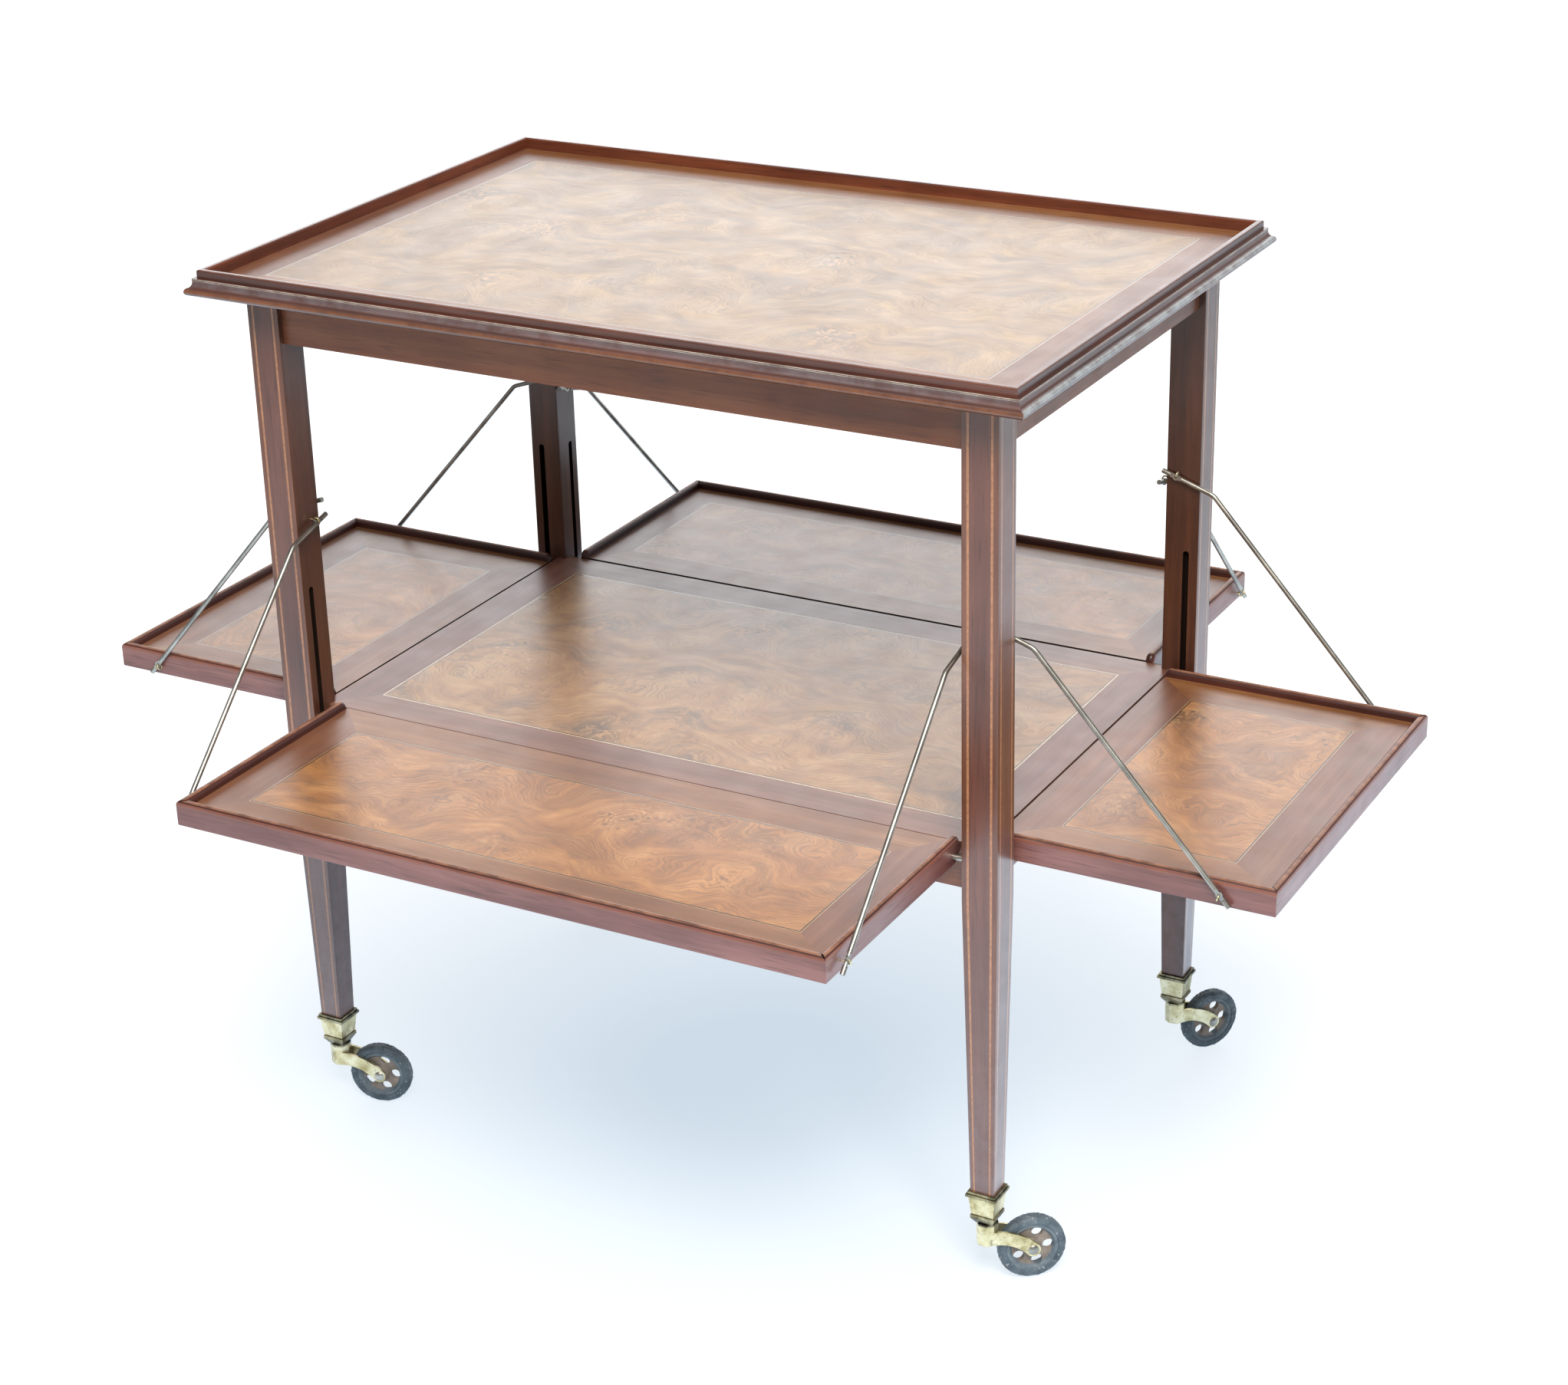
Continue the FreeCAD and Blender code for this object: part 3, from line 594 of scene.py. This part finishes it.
# Crossbands: the leaves' and the tray's are warmer than the shelf's
BAND_PORE = "5E3A26"
LEAF_BAND_STOPS = {"x": shades("84552F", "95643C", "A6744A"), "y": shades("764A33", "87593F", "98694D")}
SHELF_BAND_STOPS = {"x": shades("744C3C", "865C4A", "986C58"), "y": shades("6C4438", "7E5244", "906252")}


def band_woods(name, both_stops):
    """Crossbanding with its grain along X and along Y, each in its own tone."""
    return [polished_wood(name + "_" + axis, axis, own, BAND_PORE, coat_roughness=BOARD_COAT_ROUGHNESS)
            for axis, own in both_stops.items()]


leaf_bands = band_woods("banding_mahogany", LEAF_BAND_STOPS)
shelf_bands = band_woods("banding_shelf", SHELF_BAND_STOPS)

# Aprons and rails: plain mahogany, a warm and rather dull red brown
FRAME_STOPS = shades("744228", "865032", "986040")
frame_woods = wood_pair("mahogany_frame", FRAME_STOPS, "4A2816", coat=0.4)

# Legs: a dark rosewood core between redder margins, paler towards the feet with dust and a painted
# reflection of the floor; the grooves are black with dirt and painted shade
FOOT_DUST_AND_GLARE = (0.0, 110.0, 330.0, "837378", 0.4)
LEG_MARGIN_STOPS = shades("55301F", "6A3E2A", "7E4E38")
LEG_CORE_STOPS = shades("523028", "683F34", "7A4E42")
LEG_INSIDE_STOPS = shades("42261A", "533020", "663F2C")
GROOVE_DIRT_AND_SHADE_STOPS = shades("160E0B", "1E1410", "281A14")
leg_margin = polished_wood("mahogany_leg", "z", LEG_MARGIN_STOPS, "40241A", wear=(FOOT_DUST_AND_GLARE,))
leg_core = polished_wood("rosewood_leg", "z", LEG_CORE_STOPS, "382019", wear=(FOOT_DUST_AND_GLARE,))
leg_inside = polished_wood("mahogany_leg_inside", "z", LEG_INSIDE_STOPS, "2E1810", coat=0.5,
                           wear=(FOOT_DUST_AND_GLARE,))
# Near black wood for the pin grooves and the leaves' joint edges: dirt and painted shade in the recess
groove_dirt_and_shade = polished_wood("mahogany_groove_dirt_and_shade", "z", GROOVE_DIRT_AND_SHADE_STOPS, "0C0806", roughness=0.8, coat=0.0,
                            sheen=0.1)
leg_string = plain_line("satinwood_string", "B47E5A", "9A6A4A")

# Lips: pinkish polish outside, rubbed to bare wood in places; dark red at the handled top edge, with a pale
# line along it that is part wear and part painted highlight
LIP_FACE_STOPS = shades("744644", "865855", "986A66")
LIP_EDGE_STOPS = shades("2E120E", "421B15", "56281E")
LIP_FACE_WEAR = ((396.0, 0.8, 2.6, "8A5034", 0.6),)
# A pale line along the lip's top edge: wear and a painted highlight
LIP_EDGE_WEAR_AND_HIGHLIGHT = ((399.0, 0.3, 0.8, "B88468", 0.65),)
LIP_PORE = "3C1C14"
lip_faces = wood_pair("mahogany_lip_face", LIP_FACE_STOPS, LIP_PORE,
                      roughness=0.45, coat=0.7, wear=LIP_FACE_WEAR)
lip_edges = wood_pair("mahogany_lip_edge", LIP_EDGE_STOPS, LIP_PORE,
                      roughness=0.5, coat=0.4, wear=LIP_EDGE_WEAR_AND_HIGHLIGHT)

# Tray moulding: dark polish, with a pinkish painted highlight along the lip's top edge, two pale lines along
# the fillet that are dust and painted highlight, and darker along the bottom edge.
# The long sides have a grey painted sheen on the cove and a rubbed bead, the short ones a pale painted
# highlight along the bead; inside, the lip is redder and clean.
MOULDING_STOPS = shades("3A1E16", "4E281C", "643626")
MOULDING_INSIDE_STOPS = shades("4E2415", "66321D", "7E4228")
MOULDING_PORE = "2A120C"
# By height: painted highlight on the lip's top edge, dust and painted highlight on the fillet, a darker
# bottom edge
MOULDING_DUST_AND_SHEEN = (
    (784.5, 0.2, 0.9, "8E6452", 0.6),
    (777.4, 0.2, 0.4, "CFC4B6", 0.9),
    (776.2, 0.1, 0.5, "CFC4B6", 0.7),
    (763.9, 0.3, 1.2, "2C1510", 0.5),
)
# Long sides: painted sheen on the cove and a rubbed bead; short sides: painted highlight along the bead
OWN_MOULDING_SHEEN_AND_WEAR = {
    "x": ((773.4, 1.6, 2.6, "857F86", 0.4), (767.6, 0.8, 2.4, "885638", 0.7)),
    "y": ((768.8, 1.0, 2.4, "B2BCC2", 0.75),),
}
moulding_woods = [polished_wood("mahogany_moulding_" + axis, axis, MOULDING_STOPS, MOULDING_PORE,
                                wear=MOULDING_DUST_AND_SHEEN + own)
                  for axis, own in OWN_MOULDING_SHEEN_AND_WEAR.items()]
moulding_insides = wood_pair("mahogany_moulding_inside", MOULDING_INSIDE_STOPS, MOULDING_PORE, coat=0.4)

# Strings: boxwood, pale on the shelf and stained on tray and leaves, against a thin black line
shelf_string = plain_line("boxwood_string", "E0C8A2", "C4A87E")
faint_string = plain_line("boxwood_string_stained", "C09A6C", "A88052")
dark_string = plain_line("ebonised_string", "2A1C14", "1C120C")

# Glue blocks: bare pine, pale and dull
PINE_STOPS = shades("9C7A52", "B4925F", "C8A878")
pine = polished_wood("pine_bare", "x", PINE_STOPS, "8A6840", roughness=0.6, coat=0.0)

brass = aged_brass()
steel = steel_wire()
# Wheels: blue grey rubber, crumbled on the tyre, smoother on the rim and dusty brown on the web
tyre_rubber = old_rubber("hard_rubber_tyre", shades("36434C", "4E5E6A", "66757F"), crumb_level=0.75)
rim_rubber = old_rubber("hard_rubber_rim", shades("4C5B66", "657480", "7C8992"), crumb_level=0.2)
web_rubber = old_rubber("hard_rubber_web", shades("6E665F", "8A8179", "A09892"), crumb_level=0.1)


# Veneered boards

BAND_X, BAND_Y, PALE_STRING, DARK_STRING, FIELD, JOINT = range(6)
INWARD = (Vector((1, 0, 0)), Vector((-1, 0, 0)), Vector((0, 1, 0)), Vector((0, -1, 0)))
TOP_FACING = 0.95
JOINT_FACING = 0.2


def veneered_board(name, node, bands, field, woods, pale_line, pale_string,
                   joint_way=Vector(), joint_edge=0.0):
    """Board with a crossbanded border, a pale and a dark string line, and a burr field on its top.

    Where it meets the shelf, in the direction joint_way, its edge is eased by joint_edge and painted near
    black, dirt and a painted shade of the gap.
    """
    low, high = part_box(node)
    board = block(name, low, high)
    pick(board, "FACE", lambda place, normal: normal.z > ALIGNED)
    # All sides are first inset alike, then the lines of each narrower side move out to its own width
    widest = max(bands)
    for width in (widest, pale_line, DARK_LINE):
        bpy.ops.mesh.inset(thickness=width * MM)
    done_editing()
    first = widest * MM - TINY
    last = (widest + pale_line + DARK_LINE) * MM + TINY
    for band, way in zip(bands, INWARD):
        edge = min(low.dot(way), high.dot(way))
        shift_points(board, lambda place, normal: first < place.dot(way) - edge < last,
                     way * (band - widest) * MM)
    if joint_edge:
        joint = max(low.dot(joint_way), high.dot(joint_way))
        ease(board, lambda place, way: place.z > high.z - TINY and place.dot(joint_way) > joint - TINY,
             joint_edge, 2)

    lengthwise = BAND_X if high.x - low.x > high.y - low.y else BAND_Y

    def choose(place, normal):
        if normal.z < TOP_FACING:
            # The eased joint edge takes the near black wood, a painted shade of the gap
            return JOINT if joint_edge and normal.dot(joint_way) > JOINT_FACING else lengthwise
        past_x = min((place.x - low.x) / MM - bands[0], (high.x - place.x) / MM - bands[1])
        past_y = min((place.y - low.y) / MM - bands[2], (high.y - place.y) / MM - bands[3])
        past = min(past_x, past_y)
        if past < 0:
            return BAND_Y if past_x < past_y else BAND_X
        if past < pale_line:
            return PALE_STRING
        return DARK_STRING if past < pale_line + DARK_LINE else FIELD

    paint(board, (*woods, pale_string, dark_string, field, groove_dirt_and_shade), choose)
    return board


tray = veneered_board("tray_veneer", "tray_board", TRAY_BANDS, burr_tray, leaf_bands,
                      TRAY_PALE_LINE, faint_string)
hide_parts("tray_board")
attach(tray, "frame")

shelf = veneered_board("shelf_veneer", "shelf_panel", SHELF_BANDS, burr_shelf, shelf_bands,
                       SHELF_PALE_LINE, shelf_string)
# The shelf is notched round the legs
shelf_low, shelf_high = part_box("shelf_panel")
leg_low, leg_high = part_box("leg_front_right")
inner_x = leg_high.x - LEG_SIZE * MM
inner_y = -leg_low.y - LEG_SIZE * MM
for sign_x, sign_y in CORNERS.values():
    near = Vector((sign_x * inner_x, sign_y * inner_y, shelf_low.z - LEG_SIZE * MM))
    far = Vector((sign_x * leg_high.x, sign_y * -leg_low.y, shelf_high.z + LEG_SIZE * MM))
    low = Vector(map(min, near, far))
    high = Vector(map(max, near, far))
    cut_away(shelf, block("notch", low, high))
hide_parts("shelf_panel")
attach(shelf, "frame")


def inward_way(turn):
    """Direction from a side, given by its turn, to the trolley's middle."""
    return Matrix.Rotation(math.radians(turn), 3, "Z") @ Vector((0.0, 1.0, 0.0))


for side, turn in TURNS.items():
    leaf = veneered_board("leaf_veneer_" + side, "leaf_panel_" + side, LEAF_BANDS[side], burr_leaf,
                          leaf_bands, LEAF_PALE_LINE, faint_string, inward_way(turn), JOINT_EDGES[side])
    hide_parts("leaf_panel_" + side)
    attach(leaf, "leaf_" + side)


# Leaf lips

LIP_FACE, LIP_EDGE = range(2)
OUTSIDE_FACING = 0.75


def lip_strip(name, length, z_range, free_end, woods):
    """Strip along X, its panel side at Y 0: rounded top, mitred ends.

    With free_end 1 its right end is free and rounded off; with -1 the strip is the mirror image of that.
    """
    width = LIP_WIDTH * MM
    foot, top = z_range
    strip = block(name, (0.0, -width, foot), (length, 0.0, top))

    def panel_side(end):
        return lambda place, normal: abs(place.x - end) < TINY and abs(place.y) < TINY

    shift_points(strip, panel_side(0.0), (width, 0.0, 0.0))
    if free_end == 0:
        shift_points(strip, panel_side(length), (-width, 0.0, 0.0))
    else:
        ease(strip, lambda place, way: abs(place.x - length) < TINY and abs(place.z - top) < TINY,
             LIP_END_ROUND, 6)
        # The free end slants up underneath, clear of the shelf's rail
        slice_through(strip, (length - LIP_SLANT_LENGTH * MM, 0.0, foot),
                      (LIP_SLANT_HEIGHT, 0.0, -LIP_SLANT_LENGTH), use_fill=True, clear_outer=True)
    lowest = top - (LIP_END_ROUND + TINY) * MM

    def long_edge(place, way):
        return min(abs(place.y), abs(place.y + width)) < TINY and place.z > lowest

    ease(strip, long_edge, LIP_TOP_ROUND, 5, clamp_overlap=False)
    ease(strip, lambda place, way: abs(place.y + width) < TINY and abs(place.z - foot) < TINY,
         LIP_FOOT_ROUND, 2)
    merge_doubles(strip)
    if free_end < 0:
        pick_all(strip)
        bpy.ops.transform.resize(value=(-1.0, 1.0, 1.0), center_override=(length / 2, 0.0, 0.0))
        bpy.ops.mesh.flip_normals()
        done_editing()
    smooth(strip)
    paint(strip, woods, lambda place, normal: LIP_FACE if normal.y < -OUTSIDE_FACING else LIP_EDGE)
    return strip


for side, turn in TURNS.items():
    low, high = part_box("leaf_lips_" + side)
    long_side = turn % 180 == 0
    half = high.x if long_side else high.y
    ends = (abs(low.y), abs(high.y)) if long_side else (abs(low.x), abs(high.x))
    outer = max(ends)
    inner = min(ends)
    width = LIP_WIDTH * MM
    z_range = (low.z, high.z)
    # Name, length, free end, start and turn of the strips on the outer side and on both ends
    strips = (
        ("outer", 2 * half, 0, (-half, width - outer), 0),
        ("near", outer - inner, 1, (half - width, -outer), 90),
        ("far", outer - inner, -1, (width - half, -inner), -90),
    )
    for place_name, length, free_end, start, own_turn in strips:
        axis = 0 if (turn + own_turn) % 180 == 0 else 1
        strip = lip_strip(f"leaf_lip_{side}_{place_name}", length, z_range, free_end,
                          (lip_faces[axis], lip_edges[axis]))
        leaf_turn = Matrix.Rotation(math.radians(turn), 4, "Z")
        strip_turn = Matrix.Rotation(math.radians(own_turn), 4, "Z")
        settle(strip, leaf_turn @ Matrix.Translation((*start, 0.0)) @ strip_turn)
        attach(strip, "leaf_" + side)
        if place_name == "outer":
            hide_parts("leaf_lips_" + side)


# Legs

MARGIN, STRING, CORE, INSIDE, GROOVE = range(5)
HALF_FACING = 0.5
# A leg's long corners lie further from its axis than this, in millimetres
CORNER_REACH = 0.45 * FOOT_SIZE
# A groove's walls begin this far below the inner face, in millimetres
GROOVE_SKIN = 0.01


def string_cuts(centre):
    """Places across a leg where string lines begin and end."""
    half = LEG_SIZE / 2
    steps = (half - STRING_INSET, half - STRING_INSET - STRING_WIDTH)
    return [centre + sign * step * MM for sign in (-1, 1) for step in steps]


def tapered_shaft(name, x_range, y_range, top, lean):
    """Square shaft cut where its string lines run, drawn down to a foot and a spigot, its corners eased."""
    height = TAPER_START * MM
    shaft = block(name, (x_range[0], y_range[0], height), (x_range[1], y_range[1], top))
    axis = Vector((sum(x_range) / 2, sum(y_range) / 2, 0.0))
    for cut in string_cuts(axis.x):
        slice_through(shaft, (cut, 0, 0), (1, 0, 0))
    for cut in string_cuts(axis.y):
        slice_through(shaft, (0, cut, 0), (0, 1, 0))
    levels = (
        ((FOOT_HEIGHT - TAPER_START) * MM, FOOT_SIZE / LEG_SIZE, lean),
        (-SPIGOT_LENGTH * MM, SPIGOT_SIZE / FOOT_SIZE, Vector()),
    )
    middle = axis.copy()
    for drop, share, aside in levels:
        pick(shaft, "FACE", lambda place, normal: normal.z < -ALIGNED and abs(place.z - height) < TINY)
        extrude_picked((aside.x, aside.y, drop))
        middle += aside
        height += drop
        bpy.ops.transform.resize(value=(share, share, 1.0), center_override=(middle.x, middle.y, height))
        done_editing()

    def at_corner(place, way):
        reach = min(abs(place.x - axis.x), abs(place.y - axis.y))
        return abs(way.z) > ALIGNED and reach > CORNER_REACH * MM and place.z > FOOT_HEIGHT * MM

    ease(shaft, at_corner, LEG_EDGE_ROUND, 2)
    return shaft


def cut_grooves(leg, signs, outer):
    """Cuts a pin groove with round ends into each of a leg's two inner faces."""
    half = GROOVE_WIDTH / 2 * MM
    for across, other in ((0, 1), (1, 0)):
        line = outer[other] - signs[other] * GROOVE_SETBACK * MM
        inner = outer[across] - signs[across] * LEG_SIZE * MM
        ends = sorted((inner - signs[across] * LEG_SIZE * MM, inner + signs[across] * GROOVE_DEPTH * MM))
        low = [0.0, 0.0, GROOVE_LOW * MM]
        high = [0.0, 0.0, GROOVE_HIGH * MM]
        low[across], high[across] = ends
        low[other] = line - half
        high[other] = line + half
        slot = block("groove", low, high)
        ease(slot, lambda place, way: abs(way[across]) > ALIGNED, GROOVE_END_ROUND, 6)
        cut_away(leg, slot)


def leg_with_strings(name, sign_x, sign_y):
    """Tapered leg with two string lines down each outer face and a pin groove in each inner one."""
    outer_x = sign_x * leg_high.x
    outer_y = sign_y * -leg_low.y
    x_range = sorted((outer_x, outer_x - sign_x * LEG_SIZE * MM))
    y_range = sorted((outer_y, outer_y - sign_y * LEG_SIZE * MM))
    foot_shift = (LEG_SIZE - FOOT_SIZE) / 2 - OUTER_TAPER
    lean = Vector((sign_x * foot_shift, sign_y * foot_shift, 0.0)) * MM
    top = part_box("leg_" + name)[1].z
    leg = tapered_shaft("leg_inlaid_" + name, x_range, y_range, top, lean)
    cut_grooves(leg, (sign_x, sign_y), (outer_x, outer_y))

    def in_groove(place):
        """Within the leg, past its inner faces, at a groove's height and clear of its outer faces."""
        depth_x = sign_x * (place.x - outer_x) / MM + LEG_SIZE
        depth_y = sign_y * (place.y - outer_y) / MM + LEG_SIZE
        deep = GROOVE_DEPTH + TINY
        line = LEG_SIZE - GROOVE_SETBACK
        reach = GROOVE_WIDTH / 2 + TINY
        along_x = GROOVE_SKIN < depth_x < deep and abs(depth_y - line) < reach
        along_y = GROOVE_SKIN < depth_y < deep and abs(depth_x - line) < reach
        return (along_x or along_y) and GROOVE_LOW * MM - TINY < place.z < GROOVE_HIGH * MM + TINY

    def choose(place, normal):
        if in_groove(place):
            return GROOVE
        if abs(normal.z) > HALF_FACING or place.z < FOOT_HEIGHT * MM:
            return MARGIN
        along_y = abs(normal.x) > abs(normal.y)
        outward = normal.x * sign_x if along_y else normal.y * sign_y
        if outward < HALF_FACING:
            return INSIDE
        # The string lines close up and drift with the taper
        share = min(1.0, max(0.0, (place.z / MM - FOOT_HEIGHT) / (TAPER_START - FOOT_HEIGHT)))
        scale = (FOOT_SIZE + (LEG_SIZE - FOOT_SIZE) * share) / LEG_SIZE
        drift = lean * (1.0 - share)
        aside = place.y - sum(y_range) / 2 - drift.y if along_y else place.x - sum(x_range) / 2 - drift.x
        depth = LEG_SIZE / 2 - abs(aside) / MM / scale
        if depth < STRING_INSET:
            return MARGIN
        return STRING if depth < STRING_INSET + STRING_WIDTH else CORE

    paint(leg, (leg_margin, leg_string, leg_core, leg_inside, groove_dirt_and_shade), choose)
    smooth(leg)
    return leg


for name, signs in CORNERS.items():
    leg = leg_with_strings(name, *signs)
    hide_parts("leg_" + name)
    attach(leg, "frame")


# Castor wheels

TYRE, RIM, WEB = range(3)
UPRIGHT = Matrix.Rotation(math.radians(90), 4, "X")


def round_bar(facets, radius, length, matrix):
    """Cylinder along Y, radius and length in millimetres, then moved by a matrix."""
    clear_selection()
    bpy.ops.mesh.primitive_cylinder_add(vertices=facets, radius=radius * MM, depth=length * MM)
    bar = bpy.context.object
    settle(bar, matrix @ UPRIGHT)
    return bar


def at_axle(place):
    """Whether a place lies on the wheel's axis."""
    return math.hypot(place.x, place.z) < TINY


def wheel_by_hand():
    """Wheel about the Y axis: crumbling tread, stepped rim, dished web with holes, hub and bore."""
    low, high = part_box("castor_wheel_front_left")
    radius = (high.z - low.z) / 2 / MM
    half = TYRE_WIDTH / 2
    wheel = round_bar(WHEEL_FACETS, radius, TYRE_WIDTH, Matrix())
    for cut in TREAD_CUTS:
        slice_through(wheel, (0.0, cut * MM, 0.0), (0.0, 1.0, 0.0))
    ease(wheel, lambda place, way: abs(abs(place.y) - half * MM) < TINY, TYRE_SHOULDER, 4)
    for sign in (-1, 1):
        reached = radius - TYRE_SHOULDER
        level = half
        pick(wheel, "FACE", lambda place, normal: sign * normal.y > ALIGNED and at_axle(place))
        for next_radius, next_level in WHEEL_PROFILE:
            extrude_picked((0.0, sign * (next_level - level) * MM, 0.0))
            share = next_radius / reached
            centre = (0.0, sign * next_level * MM, 0.0)
            bpy.ops.transform.resize(value=(share, 1.0, share), center_override=centre)
            reached = next_radius
            level = next_level
        done_editing()
    pick(wheel, "FACE", lambda place, normal: abs(normal.y) > ALIGNED and at_axle(place))
    bpy.ops.mesh.bridge_edge_loops()
    done_editing()
    # The tread crumbles inwards
    tread = wheel.vertex_groups.new(name="tread")
    tread_points = [point.index for point in wheel.data.vertices
                    if math.hypot(point.co.x, point.co.z) > TREAD_START * MM]
    tread.add(tread_points, 1.0, "REPLACE")
    crumbs = bpy.data.textures.new("tread_crumbs", "CLOUDS")
    crumbs.noise_scale = CRUMB_SIZE * MM
    apply_modifier(wheel, "DISPLACE", texture=crumbs, vertex_group="tread", mid_level=1.0,
                   strength=CRUMB_DEPTH * MM)
    for step in range(HOLE_COUNT):
        angle = 2 * math.pi * step / HOLE_COUNT
        centre = Vector((math.cos(angle), 0.0, math.sin(angle))) * HOLE_CIRCLE * MM
        cut_away(wheel, round_bar(HOLE_FACETS, HOLE_RADIUS, 2 * TYRE_WIDTH, Matrix.Translation(centre)))
    merge_doubles(wheel)

    def choose(place, normal):
        reach = math.hypot(place.x, place.z) / MM
        if reach > WHEEL_PROFILE[RIM_STEP][0]:
            return TYRE
        return RIM if reach > WHEEL_PROFILE[WEB_STEP][0] else WEB

    paint(wheel, (tyre_rubber, rim_rubber, web_rubber), choose)
    smooth(wheel)
    return wheel


pattern_wheel = wheel_by_hand()
for name, heading in CASTOR_HEADINGS.items():
    node = "castor_wheel_" + name
    low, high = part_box(node)
    wheel = pattern_wheel.copy()
    wheel.data = pattern_wheel.data.copy()
    wheel.name = "castor_tyre_" + name
    bpy.context.scene.collection.objects.link(wheel)
    settle(wheel, Matrix.Translation((low + high) / 2) @ Matrix.Rotation(math.radians(heading), 4, "Z"))
    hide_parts(node)
    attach(wheel, "wheel_" + name)
bpy.data.objects.remove(pattern_wheel, do_unlink=True)


# CAD nodes whose shape is right keep it

INSIDE_FACING = 0.3
for side, turn in TURNS.items():
    axis = 1 if turn % 180 else 0
    inward = inward_way(turn)
    paint(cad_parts["tray_moulding_" + side], (moulding_woods[axis], moulding_insides[axis]),
          lambda place, normal: 1 if normal.dot(inward) > INSIDE_FACING else 0)
    dress("apron_" + side, frame_woods[axis])
    dress("shelf_rail_" + side, frame_woods[axis])
    dress("leaf_pins_" + side, steel)
    dress("stays_" + side, steel)
    dress("stay_eyes_" + side, brass)
dress("leg_eyes", brass)
dress("glue_blocks", pine)
for name in CORNERS:
    dress("castor_cup_" + name, brass)
    dress("castor_fork_" + name, brass)
    dress("castor_stem_" + name, steel)
    dress("castor_axle_" + name, steel)


# Floor, light and camera; distances and light sizes are in metres

FLOOR_SIZE = 60.0
FLOOR_BOUNCE = "E6EEF4"
FLOOR_SEEN = "8A8F92"
# Near the trolley the floor's glow is pale blue: a painted soft shadow
FLOOR_PAINTED_SHADOW = "BFCFDD"
FLOOR_FAR = "FFFFFF"
FLOOR_SHADOW_FADE = (0.1, 0.85)
# The floor glows in reflections only: painted light for the glare on the polish
FLOOR_MIRROR_FADE = (0.8, 1.9)
FLOOR_MIRROR_GLOW = (0.95, 0.12)
FLOOR_MIRRORED = "B8D4F0"
SKY_LIGHT = 0.24
# Name, place, target, size, radiance and colour
LIGHTS = (
    ("key", (1.5, -2.05, 3.1), (0.0, 0.0, 0.5), (1.5, 1.5), 22.0, "FFF8EE"),
    ("back_wall", (-1.9, 3.3, 1.4), (-1.9, 0.0, 1.4), (5.6, 2.8), 1.92, "F8FBFF"),
    ("right_back", (2.4, 2.2, 0.6), (0.0, 0.0, 0.4), (2.2, 1.1), 1.0, "E4F2FF"),
    ("ceiling", (0.0, -1.6, 3.3), (0.0, -1.6, 0.0), (4.0, 3.0), 0.6, "F4F8FF"),
)


def floor_with_painted_shadow():
    """Floor that glows white away from the trolley and pale blue near it, a painted soft shadow, over which
    its diffuse part keeps a faint real shadow.
    """
    material, tree, shader, place = new_material("floor_with_painted_shadow")
    reach = add(tree, "VectorMath", {0: place}, operation="LENGTH").outputs["Value"]
    path = add(tree, "LightPath").outputs
    # Seen directly it glows white away from the trolley and pale blue near it, a painted soft shadow; its
    # dim diffuse part keeps a faint real shadow
    seen = blend_colours(tree, "MIX", span(tree, reach, *FLOOR_SHADOW_FADE), FLOOR_PAINTED_SHADOW, FLOOR_FAR)
    # Mirrored in the polish it glows, a painted light for the glare on the trolley, bright near the trolley
    # and dim further off
    mirror = span(tree, reach, *FLOOR_MIRROR_FADE, *FLOOR_MIRROR_GLOW)
    mirror = calculate(tree, "MULTIPLY", path["Is Glossy Ray"], mirror)
    connect(tree, shader, {
        "Base Color": blend_colours(tree, "MIX", path["Is Camera Ray"], FLOOR_BOUNCE, FLOOR_SEEN),
        "Emission Color": blend_colours(tree, "MIX", path["Is Camera Ray"], FLOOR_MIRRORED, seen),
        "Emission Strength": calculate(tree, "ADD", path["Is Camera Ray"], mirror),
        "Roughness": 0.9,
        "Specular IOR Level": 0.1,
    })
    return material


clear_selection()
bpy.ops.mesh.primitive_plane_add(size=FLOOR_SIZE)
floor = bpy.context.object
floor.name = "studio_floor"
floor.data.materials.append(floor_with_painted_shadow())

# The sky is white to the camera and dimmer as a light
world = bpy.data.worlds.new("studio_white")
bpy.context.scene.world = world
world.use_nodes = True
world_tree = world.node_tree
sky_ray = add(world_tree, "LightPath").outputs["Is Camera Ray"]
sky_level = span(world_tree, sky_ray, 0.0, 1.0, SKY_LIGHT, 1.0)
connect(world_tree, world_tree.nodes["Background"], {"Color": tone("FFFFFF"), "Strength": sky_level})


def softbox(name, place, target, size, radiance, code):
    """Rectangular soft light that the camera doesn't see; its brightness is given as radiance."""
    lamp = bpy.data.lights.new(name, "AREA")
    lamp.shape = "RECTANGLE"
    lamp.size, lamp.size_y = size
    lamp.energy = radiance * math.pi * size[0] * size[1]
    lamp.color = tone(code)[:3]
    holder = bpy.data.objects.new(name, lamp)
    holder.location = place
    holder.rotation_mode = "QUATERNION"
    holder.rotation_quaternion = (Vector(target) - Vector(place)).to_track_quat("-Z", "Y")
    holder.visible_camera = False
    bpy.context.scene.collection.objects.link(holder)


for light in LIGHTS:
    softbox(*light)

camera_data = bpy.data.cameras.new("photo_camera")
camera_data.sensor_width = SENSOR_WIDTH
camera_data.lens = CAMERA_LENS
camera_data.clip_end = CAMERA_REACH
camera = bpy.data.objects.new("photo_camera", camera_data)
bpy.context.scene.collection.objects.link(camera)
back = -CAMERA_AIM.normalized()
right = CAMERA_UP.cross(back).normalized()
above = back.cross(right)
turn = Matrix((right, above, back)).transposed().to_4x4()
camera.matrix_world = Matrix.Translation(CAMERA_PLACE) @ turn
bpy.context.scene.camera = camera
bpy.context.scene.view_settings.view_transform = "Standard"
